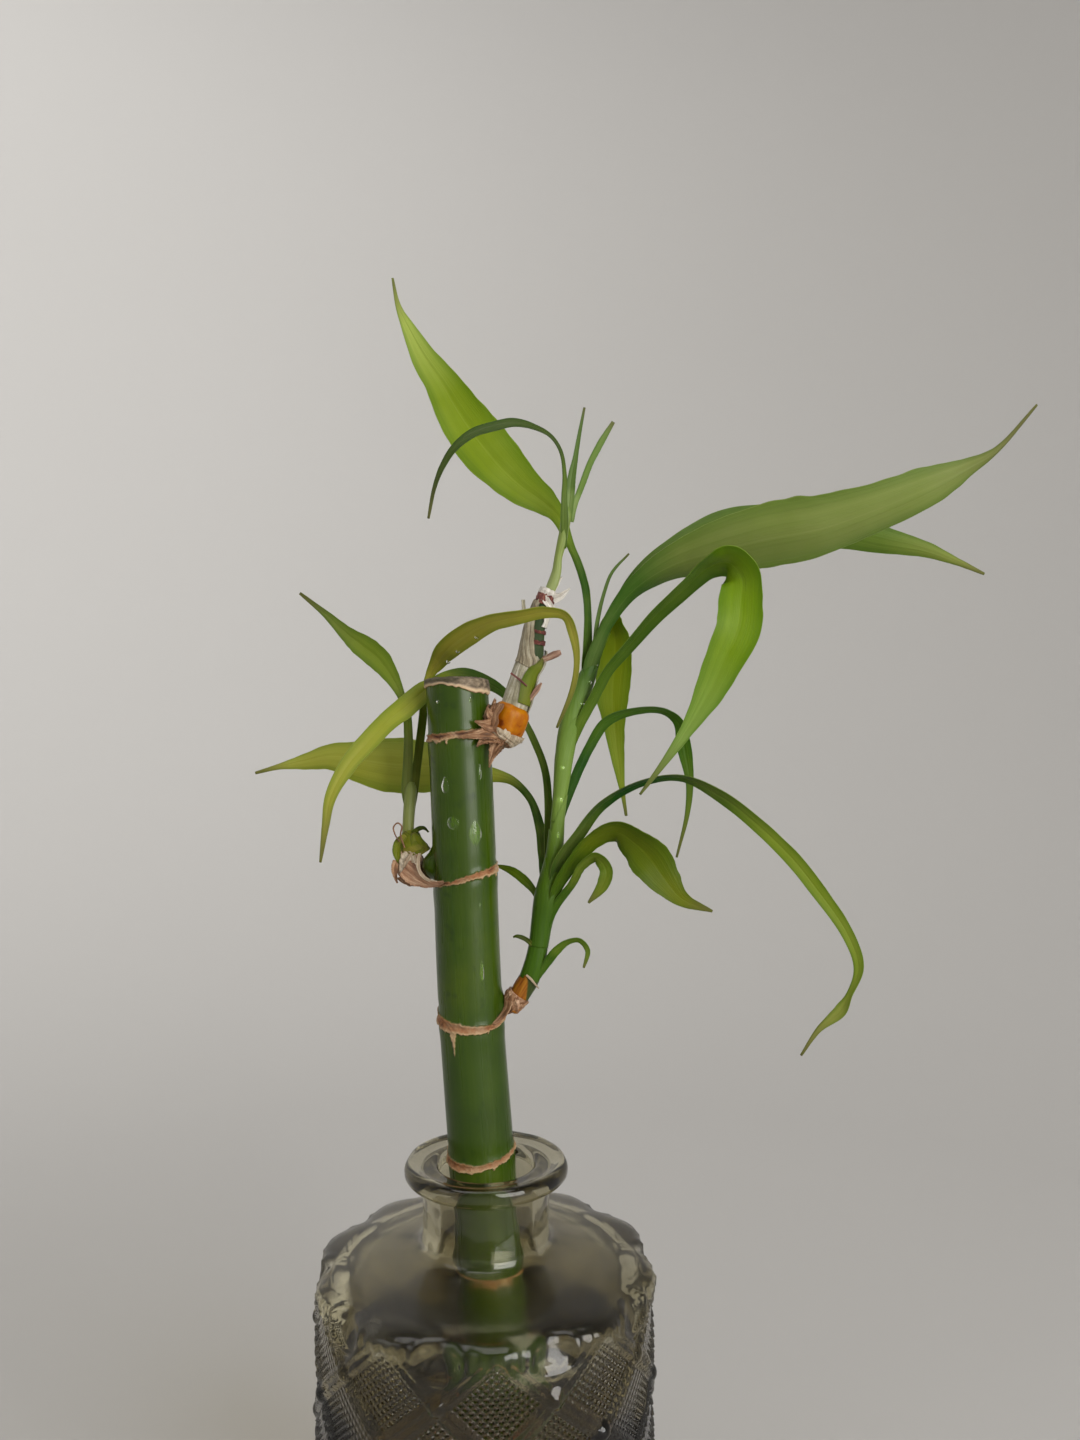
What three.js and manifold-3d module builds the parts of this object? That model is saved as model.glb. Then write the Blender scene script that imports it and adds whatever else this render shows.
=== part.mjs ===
// A lucky bamboo cutting standing in its pressed glass bottle of water.
// Millimetres, +Z up, origin at the middle of the bottle's foot. The plant is
// seen from -Y: +X is its right and +Y lies behind it.

import * as THREE from 'three';
import { mergeGeometries, mergeVertices } from 'three/addons/utils/BufferGeometryUtils.js';
import Module from 'manifold-3d';

const wasm = await Module();
wasm.setup();

// ---- Driving dimensions ---------------------------------------------------

const GAP = 0.3;                 // clearance between a piece and its neighbour

// The bottle: a wide round body under a short neck with a flat rim.
const BOTTLE_HEIGHT = 145;
const BODY_RADIUS = 44.2;        // over the net of ribs
const RIB_HEIGHT = 1;            // how far the ribs stand out of the wall
const RIB_SPREAD = 0.12;         // half a rib's foot, as a share of the way to the next rib
const STUD_HEIGHT = 0.8;         // how far a stud stands out of its crossing
const HEEL_HEIGHT = 6;           // where the net's foot ends
const REPEATS = 10;              // diamonds round the body
const NET_TOP = 118;
const NET_STEP = 12;             // from one row of crossings to the next
const NET_ROWS = 9;
const SCALLOP = 1.5;             // depth of the waves in the shoulder's edge
const NECK_RADIUS = 16.5;
const MOUTH_RADIUS = 12.25;
const RIM_RADIUS = 21.25;
const RIM_THICKNESS = 4.8;
const GLASS_THICKNESS = 3.5;
const FLOOR_THICKNESS = 6;
const WATER_LEVEL = 92;
const CANE_HOLE_GAP = 0.5;       // round the cane, in the water
const ROOT_WELL_RADIUS = 23.5;   // round the roots, in the water
const ROOT_WELL_TOP = 27;

// The cane: a green stem with a raised scar at every node.
const CANE_FOOT = 11;
const CANE_TOP = 271.4;
const CANE_RADIUS_LOW = 9.15;
const CANE_RADIUS_TOP = 8.2;
const SCAR_HEIGHT = 0.7;
const CANE_SIDES = 18;
// Where its middle runs, from the foot to the cut end.
const CANE_ROUTE = [[9, 1.6, 11], [4, 1.6, 74], [-1.3, 1.6, 146], [-4.2, 1.6, 186],
  [-5.6, 1.6, 220], [-7.1, 1.6, 255], [-7.9, 1.6, 272]];
// Each node's height, and how much higher its scar runs on the +X side.
const CANE_NODES = [[38, 1], [74, -1], [110, 1], [146, 1.3], [181.5, 1], [219, 2.4], [256, 1.6]];
// Where the cane swells under the left and the right shoot: [x, y, z, radius].
const SWELLINGS = [[-13.2, 2.3, 221.6, 3.6], [2.6, 1, 184.6, 3.4]];

// Leaves: how thick a blade is at its rib and at its edges.
const RIB_THICKNESS = 0.9;
const EDGE_THICKNESS = 0.65;

// ---- Materials ------------------------------------------------------------

function material(color, roughness, extra = {}) {
  return new THREE.MeshStandardMaterial({ color, roughness, metalness: 0, ...extra });
}

const glass = material('#6b675a', 0.12, { transparent: true, opacity: 0.5 });
const water = material('#7f8673', 0.05, { transparent: true, opacity: 0.4 });
const caneSkin = material('#44602a', 0.42);
const rootSkin = material('#b0562c', 0.6);
const dryHusk = material('#8b6345', 0.85);
const budSkin = material('#b97a14', 0.5);
const drySheath = material('#a79a78', 0.7);
const shootSkin = material('#7d9446', 0.5);
const leafGreen = material('#6f8b2c', 0.5);
const leafYellow = material('#93a33f', 0.5);
const leafDark = material('#4f6a1c', 0.5);

// ---- Solids and booleans --------------------------------------------------

/** A closed geometry from a list of points and a list of corner triples. */
function closedGeometry(points, faces) {
  const geometry = new THREE.BufferGeometry();
  const numbers = points.flatMap((p) => [p.x, p.y, p.z]);
  geometry.setAttribute('position', new THREE.Float32BufferAttribute(numbers, 3));
  geometry.setIndex(faces.flat());
  return geometry;
}

/** The same body as a solid that can be joined and cut. */
function solidOf(geometry) {
  const bare = geometry.clone();
  bare.deleteAttribute('normal');
  bare.deleteAttribute('uv');
  const merged = mergeVertices(bare, 1e-4);
  return new wasm.Manifold(new wasm.Mesh({
    numProp: 3,
    vertProperties: Float32Array.from(merged.attributes.position.array),
    triVerts: Uint32Array.from(merged.index.array),
  }));
}

/** A geometry holding a solid's faces, for a mesh. */
function geometryOf(solid) {
  const { vertProperties, triVerts } = solid.getMesh();
  const geometry = new THREE.BufferGeometry();
  geometry.setAttribute('position', new THREE.BufferAttribute(vertProperties, 3));
  geometry.setIndex(new THREE.BufferAttribute(triVerts, 1));
  const flat = geometry.toNonIndexed();
  flat.computeVertexNormals();
  return flat;
}

/** The largest body that is left of a solid once all the given rooms are cut away. */
function cutClear(solid, rooms) {
  const rest = rooms.reduce((body, room) => body.subtract(room), solid);
  return rest.decompose().sort((a, b) => b.volume() - a.volume())[0];
}

/** Several solids joined into one. */
function joined(first, ...others) {
  return others.reduce((body, other) => body.add(other), first);
}

// ---- Lofts, tubes and blades ----------------------------------------------

/** A body through a list of rings of points, with a fan over each end that is closed. */
function loft(rings, { closeStart = true, closeEnd = true } = {}) {
  const sides = rings[0].length;
  const points = rings.flat();
  const faces = [];
  for (let i = 0; i + 1 < rings.length; i += 1) {
    for (let j = 0; j < sides; j += 1) {
      const a = i * sides + j;
      const b = i * sides + (j + 1) % sides;
      faces.push([a, b, b + sides], [a, b + sides, a + sides]);
    }
  }
  [0, rings.length - 1].filter((end) => (end === 0 ? closeStart : closeEnd)).forEach((end) => {
    const middle = points.length;
    points.push(rings[end].reduce((sum, p) => sum.add(p), new THREE.Vector3()).divideScalar(sides));
    for (let j = 0; j < sides; j += 1) {
      const a = end * sides + j;
      const b = end * sides + (j + 1) % sides;
      faces.push(end === 0 ? [b, a, middle] : [a, b, middle]);
    }
  });
  return closedGeometry(points, faces);
}

/**
 * The way along a run of stations [x, y, z, first, second]: at t the point, the
 * two further values, the heading, and the two directions square to it. "across"
 * lies in the XZ plane and "front" faces the viewer at -Y.
 */
function alongStations(stations) {
  const route = new THREE.CatmullRomCurve3(stations.map(([x, y, z]) => new THREE.Vector3(x, y, z)));
  const values = new THREE.CatmullRomCurve3(
    stations.map(([, , , first, second]) => new THREE.Vector3(first, second, 0)), false, 'catmullrom', 0.5);
  return (t) => {
    const heading = route.getTangent(t);
    const across = new THREE.Vector3(-heading.z, 0, heading.x).normalize();
    const { x: first, y: second } = values.getPoint(t);
    return { at: route.getPoint(t), heading, across, front: heading.clone().cross(across), first, second };
  };
}

/** A stem through stations [x, y, z, width, depth], with an even oval section. */
function stem(stations, { sides = 8, steps = 1, grow = 0 } = {}) {
  const along = alongStations(stations);
  const last = steps * (stations.length - 1);
  const rings = [];
  for (let i = 0; i <= last; i += 1) {
    const { at, across, front, first: width, second: depth } = along(i / last);
    rings.push(Array.from({ length: sides }, (_, j) => {
      const angle = 2 * Math.PI * j / sides;
      return at.clone()
        .addScaledVector(across, (width / 2 + grow) * Math.cos(angle))
        .addScaledVector(front, (depth / 2 + grow) * Math.sin(angle));
    }));
  }
  return solidOf(loft(rings));
}

/**
 * A leaf blade through stations [x, y, z, width, turn]. "turn" is how far the
 * blade is rolled about its rib, in degrees, from lying flat to the viewer.
 * "cup" lifts the edges towards the blade's front by that share of its half
 * width, and "wave" = [height, waves] ripples them. Both faces are split into
 * triangles alike, so the blade keeps its thickness in every fold.
 */
function blade(stations, { cup = 0.2, wave = [0, 1], cells = 2, steps = 1, grow = 0 } = {}) {
  const along = alongStations(stations);
  const last = steps * (stations.length - 1);
  const middle = [];
  for (let i = 0; i <= last; i += 1) {
    const { at, across, front, first: width, second: turn } = along(i / last);
    const roll = THREE.MathUtils.degToRad(turn);
    const side = across.clone().multiplyScalar(Math.cos(roll)).addScaledVector(front, Math.sin(roll));
    const face = front.clone().multiplyScalar(Math.cos(roll)).addScaledVector(across, -Math.sin(roll));
    const half = Math.max(width, 0.6) / 2 + grow;
    const ripple = wave[0] * Math.sin(Math.PI * i / last);
    middle.push(Array.from({ length: cells + 1 }, (_, j) => {
      const share = 2 * j / cells - 1;
      const lift = cup * half * Math.abs(share) ** 1.5
        + ripple * share * share * Math.sin(2 * Math.PI * wave[1] * i / last + share);
      return at.clone().addScaledVector(side, half * share).addScaledVector(face, lift);
    }));
  }
  const points = [];
  [1, -1].forEach((sign) => middle.forEach((row, i) => row.forEach((point, j) => {
    const ahead = middle[Math.min(i + 1, last)][j].clone().sub(middle[Math.max(i - 1, 0)][j]);
    const aside = row[Math.min(j + 1, cells)].clone().sub(row[Math.max(j - 1, 0)]);
    const share = Math.abs(2 * j / cells - 1);
    const half = THREE.MathUtils.lerp(RIB_THICKNESS, EDGE_THICKNESS, share) / 2 + grow;
    points.push(point.clone().addScaledVector(ahead.cross(aside).normalize(), sign * half));
  })));
  const stride = cells + 1;
  const back = stride * (last + 1);
  const faces = [];
  const quad = (a, b, c, d) => faces.push([a, b, c], [a, c, d]);
  for (let i = 0; i < last; i += 1) {
    const row = i * stride;
    for (let j = 0; j < cells; j += 1) {
      const a = row + j;
      quad(a, a + stride, a + stride + 1, a + 1);
      const b = a + back;
      faces.push([b, b + stride + 1, b + stride], [b, b + 1, b + stride + 1]);
    }
    quad(row, row + back, row + back + stride, row + stride);
    const edge = row + cells;
    quad(edge, edge + stride, edge + stride + back, edge + back);
  }
  const end = last * stride;
  for (let j = 0; j < cells; j += 1) {
    quad(j, j + 1, j + 1 + back, j + back);
    quad(end + j, end + j + back, end + j + 1 + back, end + j + 1);
  }
  return solidOf(closedGeometry(points, faces));
}

// ---- The bottle -----------------------------------------------------------

/** The bottle's outside: the ribbed net, the scalloped shoulder, the neck and the rim. */
function bottleOutside() {
  const columns = 4 * REPEATS;                     // four to a diamond
  const wall = BODY_RADIUS - RIB_HEIGHT;
  const firstStud = THREE.MathUtils.degToRad(6);   // the top row's first crossing, from the front
  const at = (column, height, radius) => {
    const angle = firstStud + 2 * Math.PI * column / columns;
    return new THREE.Vector3(radius * Math.sin(angle), -radius * Math.cos(angle), height);
  };
  const ring = (radiusAt, height) => Array.from({ length: columns }, (_, j) => at(j, height, radiusAt(j)));
  const even = (radius, height) => ring(() => radius, height);
  const scallop = (radius) => (column) => radius + SCALLOP * Math.cos(Math.PI * column / 2);

  // The net. Along every rib runs a crest, from stud to stud, and between the ribs
  // lie flat diamonds, their corners RIB_SPREAD of a diamond's width off the studs.
  const faces = [];
  const levelOf = (row) => NET_TOP - row * NET_STEP;
  const shoulderEdge = scallop(wall - 0.7);
  const stud = (column, row) =>
    at(column, levelOf(row), row === 0 ? shoulderEdge(column) : BODY_RADIUS + STUD_HEIGHT);
  const crest = (column, row) => at(column, levelOf(row), BODY_RADIUS);
  const side = ([fromStud, fromFlat], middle, [toStud, toFlat]) =>
    faces.push([fromStud, middle, fromFlat], [middle, toFlat, fromFlat], [middle, toStud, toFlat]);
  for (let row = 0; row <= NET_ROWS; row += 1) {
    for (let k = 0; k < REPEATS; k += 1) {
      const column = 4 * k + 2 * ((row + 1) % 2);
      const corner = (aside, down, flatAside, flatDown) => [stud(column + aside, row + down),
        at(column + aside + flatAside, levelOf(row + down + flatDown), wall)];
      let left = corner(-2, 0, 4 * RIB_SPREAD, 0);
      let right = corner(2, 0, -4 * RIB_SPREAD, 0);
      if (row === 0) {
        const [a, b, c] = [-1, 0, 1].map((step) => at(column + step, NET_TOP, shoulderEdge(column + step)));
        const low = corner(0, 1, 0, -2 * RIB_SPREAD);
        left = [left[0], a];
        right = [right[0], c];
        faces.push([a, low[1], b], [b, low[1], c]);
        side(left, crest(column - 1, 0.5), low);
        side(low, crest(column + 1, 0.5), right);
        continue;
      }
      const high = corner(0, -1, 0, 2 * RIB_SPREAD);
      side(right, crest(column + 1, row - 0.5), high);
      side(high, crest(column - 1, row - 0.5), left);
      if (row < NET_ROWS) {
        const low = corner(0, 1, 0, -2 * RIB_SPREAD);
        side(left, crest(column - 1, row + 0.5), low);
        side(low, crest(column + 1, row + 0.5), right);
        faces.push([left[1], low[1], high[1]], [low[1], right[1], high[1]]);
      } else {
        const [a, b, c, d, e] = [-2, -1, 0, 1, 2].map((step) =>
          at(column + step, HEEL_HEIGHT, BODY_RADIUS - 0.3));
        faces.push([left[1], right[1], high[1]], [left[0], a, b], [left[0], b, left[1]], [left[1], b, c],
          [left[1], c, right[1]], [right[1], c, d], [right[1], d, right[0]], [right[0], d, e]);
      }
    }
  }

  const rimFoot = BOTTLE_HEIGHT - RIM_THICKNESS;
  const heel = [even(39.5, 0), even(43, 2), even(BODY_RADIUS - 0.3, HEEL_HEIGHT)];
  const top = [ring(shoulderEdge, NET_TOP), ring(scallop(39), NET_TOP + 1.8), even(29, NET_TOP + 3.6),
    even(18.2, NET_TOP + 5), even(NECK_RADIUS, NET_TOP + 6.6), even(NECK_RADIUS, rimFoot - 0.6),
    even(18.2, rimFoot), even(20.6, rimFoot + 0.5), even(RIM_RADIUS, rimFoot + 1.8),
    even(RIM_RADIUS - 0.2, BOTTLE_HEIGHT - 1.2), even(RIM_RADIUS - 1.2, BOTTLE_HEIGHT)];
  const net = closedGeometry(faces.flat(), faces.map((_, i) => [3 * i, 3 * i + 1, 3 * i + 2]));
  return solidOf(mergeGeometries([loft(heel, { closeEnd: false }), net, loft(top, { closeStart: false })]));
}

/** The hollow inside the bottle, up through the neck and its eased mouth. */
function bottleHollow() {
  const inner = BODY_RADIUS - RIB_HEIGHT - GLASS_THICKNESS;
  const profile = [[0, FLOOR_THICKNESS], [inner - 3.5, FLOOR_THICKNESS], [inner - 0.6, FLOOR_THICKNESS + 2.2],
    [inner, FLOOR_THICKNESS + 6], [inner, NET_TOP - 6], [inner - 1.4, NET_TOP - 2.8], [34, NET_TOP - 0.8],
    [MOUTH_RADIUS + 1.4, NET_TOP + 2.2], [MOUTH_RADIUS, NET_TOP + 3.6], [MOUTH_RADIUS, BOTTLE_HEIGHT - 1.4],
    [MOUTH_RADIUS + 1.3, BOTTLE_HEIGHT + 0.1], [MOUTH_RADIUS + 1.3, BOTTLE_HEIGHT + 2],
    [0, BOTTLE_HEIGHT + 2]];
  return lathed(profile, 32);
}

/** A body turned about the Z axis from [radius, height] points that start and end on it. */
function lathed(profile, segments) {
  const geometry = new THREE.LatheGeometry(profile.map(([r, z]) => new THREE.Vector2(r, z)), segments);
  return solidOf(geometry.rotateX(Math.PI / 2));
}

// ---- The cane -------------------------------------------------------------

const caneLine = new THREE.CatmullRomCurve3(CANE_ROUTE.map((p) => new THREE.Vector3(...p)));

/** The middle of the cane at a height. */
function caneMiddle(height) {
  let low = 0;
  let high = 1;
  for (let i = 0; i < 24; i += 1) {
    const t = (low + high) / 2;
    if (caneLine.getPoint(t).z < height) low = t; else high = t;
  }
  return caneLine.getPoint(low).setZ(height);
}

/** The cane's radius between its nodes, at a height. */
function caneRadius(height) {
  return THREE.MathUtils.mapLinear(height, CANE_FOOT, CANE_TOP, CANE_RADIUS_LOW, CANE_RADIUS_TOP);
}

/** One ring of the cane: level, or tilted so that its +X side is higher by "tilt". */
function caneRing(height, radius, tilt) {
  return Array.from({ length: CANE_SIDES }, (_, j) => {
    const angle = 2 * Math.PI * j / CANE_SIDES;
    const level = height + tilt * Math.cos(angle);
    return caneMiddle(height).setZ(level)
      .add(new THREE.Vector3(radius * Math.cos(angle), radius * Math.sin(angle), 0));
  });
}

/** The whole cane, from its flat foot past every raised scar to its domed dry end. */
function cane(grow = 0) {
  const rings = [caneRing(CANE_FOOT - grow, caneRadius(CANE_FOOT) + grow, 0)];
  CANE_NODES.forEach(([height, tilt], i) => {
    const radius = caneRadius(height) + grow;
    [[-1.5, -0.1], [-0.6, SCAR_HEIGHT], [0.6, SCAR_HEIGHT], [1.3, -0.2]].forEach(([rise, out]) =>
      rings.push(caneRing(height + rise, radius + out, tilt)));
    const above = i + 1 < CANE_NODES.length ? CANE_NODES[i + 1] : [CANE_TOP, 0];
    const between = (height + above[0]) / 2;
    rings.push(caneRing(between, caneRadius(between) + grow - 0.1, (tilt + above[1]) / 2));
  });
  const top = CANE_RADIUS_TOP + grow;
  rings.push(caneRing(CANE_TOP - 3, top, -0.6), caneRing(CANE_TOP - 1.1 + grow, top - 0.7, -0.5));
  rings.push(caneRing(CANE_TOP - 0.1 + grow, top - 3.6, -0.2));
  return joined(solidOf(loft(rings)), ...SWELLINGS.map(([x, y, z, radius]) =>
    solidOf(new THREE.SphereGeometry(radius + grow, 10, 8).translate(x, y, z))));
}

// ---- Husks, buds and roots ------------------------------------------------

/**
 * A dry star-shaped husk that lies on the cane round a shoot's foot: "heading"
 * is its place round the cane in degrees from the viewer, "reach" its longest
 * point, and its thickness falls off from the middle to the points.
 */
function starHusk({ height, heading, reach, points }) {
  const spokes = points * 3;
  const shares = [0.5, 1];
  const place = (angle, share, layer) => {
    const star = reach * (0.6 + 0.4 * (0.5 + 0.5 * Math.cos(points * angle)) ** 2);
    const round = share * star * Math.cos(angle);
    const level = height + share * star * Math.sin(angle);
    const base = caneRadius(height) + SCAR_HEIGHT + GAP;
    const turn = THREE.MathUtils.degToRad(heading) + round / base;
    const radius = base + layer * (2.4 - 1.6 * share);
    return caneMiddle(level).add(new THREE.Vector3(radius * Math.sin(turn), -radius * Math.cos(turn), 0));
  };
  const rings = [1, 0].flatMap((layer) => {
    const order = layer ? shares : [...shares].reverse();
    return order.map((share) =>
      Array.from({ length: spokes }, (_, j) => place(2 * Math.PI * j / spokes, share, layer)));
  });
  return solidOf(loft(rings.reverse()));
}

/** A rounded body of three half axes round a middle. */
function ovoid({ middle, halves }, { sides = 12, grow = 0 } = {}) {
  const sphere = new THREE.SphereGeometry(1, sides, Math.round(sides * 0.7));
  return solidOf(sphere.scale(...halves.map((half) => half + grow)).translate(...middle));
}

/** The roots: tapered threads curling out of a flat pad under the cane's foot. */
function rootCluster() {
  const count = 12;
  const [footX, footY] = CANE_ROUTE[0];
  const padTop = CANE_FOOT - GAP;
  const pad = new THREE.CylinderGeometry(8.4, 9, padTop - FLOOR_THICKNESS - GAP, 16)
    .rotateX(Math.PI / 2).translate(footX, footY, (padTop + FLOOR_THICKNESS + GAP) / 2);
  let roots = solidOf(pad);
  let seed = 11;
  const draw = () => {
    seed = (seed * 16807) % 2147483647;
    return seed / 2147483647;
  };
  for (let i = 0; i < count; i += 1) {
    const angle = 2 * Math.PI * (i + 0.4 * draw()) / count;
    const swing = 0.5 * (draw() - 0.5);
    const rise = 4 + 12 * draw();
    const at = (radius, turn, z) => [footX + radius * Math.cos(turn), footY + radius * Math.sin(turn), z];
    roots = roots.add(stem([
      [...at(5, angle, 8.8), 1.9, 1.9],
      [...at(11.5, angle + swing / 2, 8.8 + rise * 0.4), 1.9, 1.9],
      [...at(15.5, angle + swing, 8.8 + rise), 1.7, 1.7],
      [...at(18.5, angle + swing * 2, 8.6 + rise * 0.5), 1.4, 1.4],
      [...at(20.5, angle + swing * 3, 7.6), 1, 1],
    ], { sides: 5 }));
  }
  return cutClear(roots, [cane(GAP)]);
}

// ---- Stems and sheaths: [x, y, z, width, depth] ---------------------------

const LEFT_KNOB = [[-16.6, 3.5, 218.4, 3.2, 2.9], [-18.8, 4, 219, 5.9, 5.3], [-20.6, 4.3, 220.8, 7.2, 6.1],
  [-21, 4.6, 223.2, 6.7, 5.3], [-21.2, 4.8, 225.2, 4.8, 3.9]];
const LEFT_SCALES = [[-19, 4.5, 224, 8, 4.8], [-19.8, 4.8, 226, 7, 4.2], [-20.4, 5.2, 228.2, 5.4, 3.2],
  [-21, 5.7, 230.2, 4, 2.8]];
const LEFT_CURL = [[-18.8, 5, 229.6, 1.1, 1.1], [-17.4, 4.5, 230.8, 1.1, 1.1], [-16, 4.2, 230.6, 0.9, 0.9],
  [-15, 4, 229.6, 0.7, 0.7]];
const LEFT_STEM = [[-21, 5.4, 226.5, 2.4, 2.2], [-21.2, 6, 229, 3, 2.7], [-21.2, 7, 233, 3.1, 2.8],
  [-21, 8, 237.6, 3.2, 2.9], [-20.8, 8.6, 241.6, 3.1, 2.6]];

const TOP_SHEATH = [[6.4, -0.5, 261.5, 6, 5.4], [7.8, -0.2, 266, 6.7, 6], [9.4, 0, 270, 6.2, 5.6],
  [10.4, 0, 273.2, 6.3, 5.7], [11.8, 0, 276, 6.7, 6], [12.4, 0, 280.2, 6.8, 6.2], [13, 0, 284.2, 7.4, 6.3],
  [14.2, 0, 288.2, 6.3, 5.4], [15.6, 0, 291.8, 5, 4.2], [16.6, 0.1, 294.2, 3.9, 3.4]];
const DRY_STUB = [[13.2, 0, 275.4, 1.6, 1.6], [16.4, -0.5, 276.4, 1.6, 1.6], [19.8, -1, 277.6, 1.3, 1.3]];
const DRY_BRACT = [[9.4, 0, 264.6, 1.2, 1.2], [12.4, -1.4, 266, 1, 1], [14.8, -2.4, 269.4, 0.8, 0.8]];
const TOP_STEM = [[16.2, 0.1, 292.8, 2.6, 2.3], [17.6, 0.2, 295.8, 2.9, 2.6], [18.6, 0.2, 299.2, 2.5, 2.3],
  [19, 0.1, 302.6, 2.1, 1.9], [20, 0, 307, 2.5, 2.2], [20.6, 0, 310.2, 2.4, 2.1], [21.2, 0.1, 314, 2.6, 2.4]];

const RIGHT_HUSK = [[4.4, 0.6, 183.8, 3.2, 3.2], [6, 0.6, 184.4, 5.8, 5.2], [7.8, 0.5, 186, 6.6, 5.9],
  [8.6, 0.4, 187.2, 6.3, 5.7]];
const RIGHT_BASE = [[6.6, 0.5, 184, 4.5, 4], [8.2, 0.4, 186.4, 5, 4.5], [9.8, 0.2, 189.4, 5.4, 4.9],
  [11.4, 0.1, 192, 5.4, 4.9], [12, 0.1, 193.6, 5.3, 4.7]];
const RIGHT_STEM = [[11.4, 0.1, 192, 5.4, 4.9], [13, 0, 196.8, 5.4, 4.7], [14, 0.3, 202, 5.1, 4.5],
  [14.8, 0.5, 207.2, 5.5, 4.9], [16, 0.6, 212.6, 6.6, 5.6], [17, 0.8, 217.2, 6.1, 5.2],
  [17.8, 1, 222.6, 4.5, 4], [18.4, 1.2, 228.2, 3.8, 3.4], [18.8, 1.6, 234, 3.4, 3],
  [19.4, 2, 239.4, 3.4, 3.1], [20, 2.4, 244.6, 4, 3.5], [20.6, 2.8, 250.2, 4.5, 4],
  [21.4, 3.3, 255.4, 4.9, 4.2], [22.8, 3.8, 261, 5.3, 4.4], [24.6, 4.3, 266.2, 5.6, 4.4],
  [26.8, 4.8, 271.2, 5.6, 4.2], [28.2, 5, 274.4, 5.4, 3.7]];
const TINY_LEAF = [[12.8, -0.5, 200.4, 1.3, 1.3], [11, -1, 202, 1, 1], [9.2, -1.6, 203.2, 0.9, 0.9],
  [7.8, -2, 203.6, 0.7, 0.7]];

// The star husk at the top shoot's foot, the dry cup it holds and the bud in the cup.
const STAR = { height: 256, heading: 75, reach: 8, points: 7 };
const CUP = { middle: [4.6, -0.2, 256], halves: [4.2, 3.8, 3.2] };
const BUD = { middle: [6.2, -0.5, 260.5], halves: [4.9, 4.6, 4.1] };

// ---- Leaves: [x, y, z, width, turn] ---------------------------------------

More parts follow.
